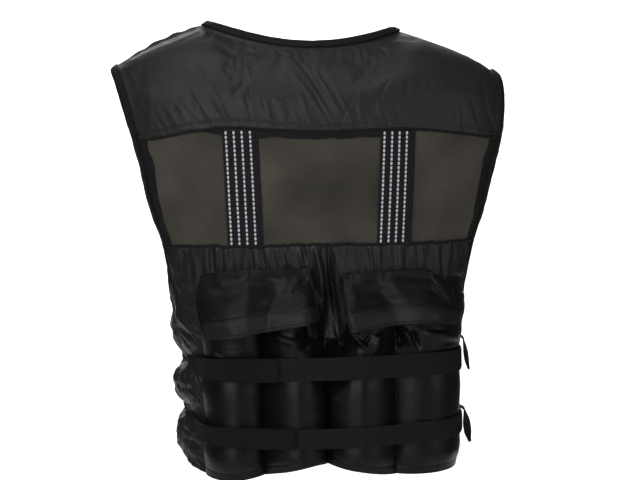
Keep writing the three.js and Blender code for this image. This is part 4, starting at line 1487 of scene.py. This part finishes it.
def make_tab(name, path, out):
    """The smooth closing end: a little wider than the belt, with its corners rounded off."""
    start, end = TABS[name]
    behind = path[:, 1] < 0
    order = np.nonzero(behind & (path[:, 0] > start) & (path[:, 0] < end))[0]
    order = order[np.argsort(path[order, 0])]
    wide = BELT_WIDTH[name] + 0.6
    piece, u, v = flat_grid("belt_tab_cloth_" + name, 150, 16, (end - start, wide))
    at = u * (len(order) - 1)
    line, off = (columns_at(at, np.arange(len(order)), values[order]) for values in (path, out))
    off, angle = unit(off), angle_of(line)
    from_end = (1 - u) * (end - start)
    corner = np.sqrt(np.clip(1 - np.clip(1 - from_end / 4, 0, 1) ** 2, 0, 1))
    half = wide / 2 * belt_taper(angle) - 3.0 * (1 - corner)
    edge = np.minimum(np.minimum(v, 1 - v) * wide, from_end)
    stitched = -0.35 * bump((edge - 2.6) / 0.7)
    lifted = 2.5 * smooth(u, 0.9, 1.0) + 0.6 * noise(u * 7, v * 2, 83)
    height = BELT_OFF + BELT_THICKNESS + 2.3 + stitched + lifted * 0.6
    flat = line + off * height[:, None]
    z = belt_z[name](angle) + (v - 0.5) * 2 * half
    move_points(piece, np.column_stack([flat, z]) * MM)
    finish_cloth(piece, 1.7, hook_tape)
    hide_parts("belt_tab_" + name)


belt_lines = {name: make_belt(name) for name in BELTS}
for name, (path, out) in belt_lines.items():
    make_tab(name, path, out)

# %% [markdown]
# ## The strap tails
# The loose end of each belt is folded down over it at the right side and sticks out a little.

# %% Tails
TAILS = {
    "upper": {"top": -331, "bottom": -376, "lean": 10, "y": -12, "twist": 22, "wide": 17},
    "lower": {"top": -411, "bottom": -459, "lean": 10, "y": -12, "twist": 30, "wide": 20},
}
BODY_SIDE_X = 162


def make_tail(name):
    tail = TAILS[name]
    piece, u, v = flat_grid("strap_tail_cloth_" + name, 24, 50, (21, 46))
    down = 1 - v
    middle = BODY_SIDE_X + 1.2 + tail["lean"] * down**1.3 + 1.4 * np.sin(down * 4.5)
    sewn_in = BODY_SIDE_X - float(half_width(1, tail["top"]))
    middle -= sewn_in * (1 - smooth(down, 0, 0.22))
    turn = np.radians(mix(4, tail["twist"], smooth(down, 0.1, 0.6)))
    pointed = 1 - 0.7 * smooth(down, 0.72, 1.0) - 0.35 * (1 - smooth(down, 0, 0.3))
    aside = (u - 0.5) * tail["wide"] * pointed
    x = middle + aside * np.sin(turn)
    y = tail["y"] + aside * np.cos(turn) + 3 * np.sin(down * 3)
    z = mix(tail["bottom"], tail["top"], v) + 1.5 * np.sin(u * 3)
    move_points(piece, np.column_stack([x, y, z]) * MM)
    finish_cloth(piece, 1.8, elastic)
    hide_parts("strap_tail_" + name)


for name in TAILS:
    make_tail(name)

# %% [markdown]
# ## The bindings
# The neck and both armholes are edged with a folded tape. It is swept along the panels' edges: at every
# step of the way the tape's cross-section lies in the cloth, with its open side towards the panel.

# %% Binding paths
def joined(back, front):
    """The back edge, then the front edge the other way, without the two ends that they share."""
    return np.vstack([back, front[::-1][1:-1]])


def armhole_path(side):
    sign, end = (-1.0, 0.0) if side == "left" else (1.0, 1.0)
    edges, edge_outs = [], []
    for face in ("back", "front"):
        top = float(yoke_seam(sign)) if face == "back" else FRONT_SEAM_Z
        arc = UNDERARM_Z + UNDERARM_DROP * (1 - np.cos(np.pi / 2 * np.linspace(0, 1, 24)))
        z = np.concatenate([arc, np.linspace(SEAM_Z, top, 26)[1:-1]])
        across = np.full(len(z), sign)
        v = np.linspace(0, 1, 34)
        u = np.full(len(v), end)
        edges.append(np.vstack([on_panel(face, across, z), yoke(face, u, v)]))
        edge_outs.append(np.vstack([torso_out(panel_angle(face, across, z), z), yoke_out(face, u, v)]))
    points, outs = joined(*edges), joined(*edge_outs)
    return (points, outs) if side == "left" else (points[::-1], outs[::-1])


def neck_path():
    u = np.linspace(NECK_FROM, NECK_TO, 70)
    ones = np.ones_like(u)
    back, front = yoke("back", u, ones), yoke("front", u, ones)
    back_out, front_out = yoke_out("back", u, ones), yoke_out("front", u, ones)
    back_out[0] = unit(back_out[0] + front_out[0])
    back_out[-1] = unit(back_out[-1] + front_out[-1])
    return joined(back, front), joined(back_out, front_out)


# %% Bindings
BINDING_WIDTH = 9
BINDING_SECTION = [
    (-1.0, -2.6), (-1.4, -1.2), (-1.4, 2.4), (-0.8, 3.3), (0.8, 3.5), (3.6, 3.2), (6.4, 2.7), (8.4, 1.6),
    (9.2, 0.2), (8.6, -1.2), (6.4, -2.3), (3.0, -2.7),
]


def make_binding(name, points, outs, count=420):
    """The tape's cross-section, bridged from step to step round the whole opening."""
    (points, outs), length = round_loop(count, points, outs)
    ahead = unit(np.roll(points, -1, axis=0) - np.roll(points, 1, axis=0))
    aside = unit(np.cross(unit(outs), ahead))
    outs = unit(np.cross(ahead, aside))
    sides = len(BINDING_SECTION)
    piece, u, v = flat_grid(name + "_tape", count, sides, (length, 2 * BINDING_WIDTH))
    step = np.round(u * count).astype(int) % count
    corner = np.round(v * sides).astype(int) % sides
    section = np.array(BINDING_SECTION[::-1])[corner]
    ripple = 0.35 * noise(step * length / count / 7, corner * 0.4, 91)
    stitch = -0.35 * bump((section[:, 0] - 0.8) / 1.2) * (section[:, 1] > 0)
    high = (section[:, 1] + ripple + stitch)[:, None]
    move_points(piece, (points[step] + aside[step] * section[:, :1] + outs[step] * high) * MM)
    weld(piece, 0.00001, face_out=True)
    dress(piece, tape, sharp=60)
    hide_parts(name)
    print(piece.name, "is", round(length), "mm round")


make_binding("neck_binding", *neck_path())
for side in ("left", "right"):
    make_binding("armhole_binding_" + side, *armhole_path(side))

# %% [markdown]
# ## The size and finish
# The looks may stand a little proud of the solids but not change the vest's size. Both boxes are
# measured, and the size of the visible one is printed.

# %% Size and finish
seen_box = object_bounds()
boxes = {"cad": cad_box, "visual": seen_box}
{name: [list(map(float, corner)) for corner in box] for name, box in boxes.items()}
print("size of the vest in metres:", [round(b - a, 3) for a, b in zip(*seen_box)])
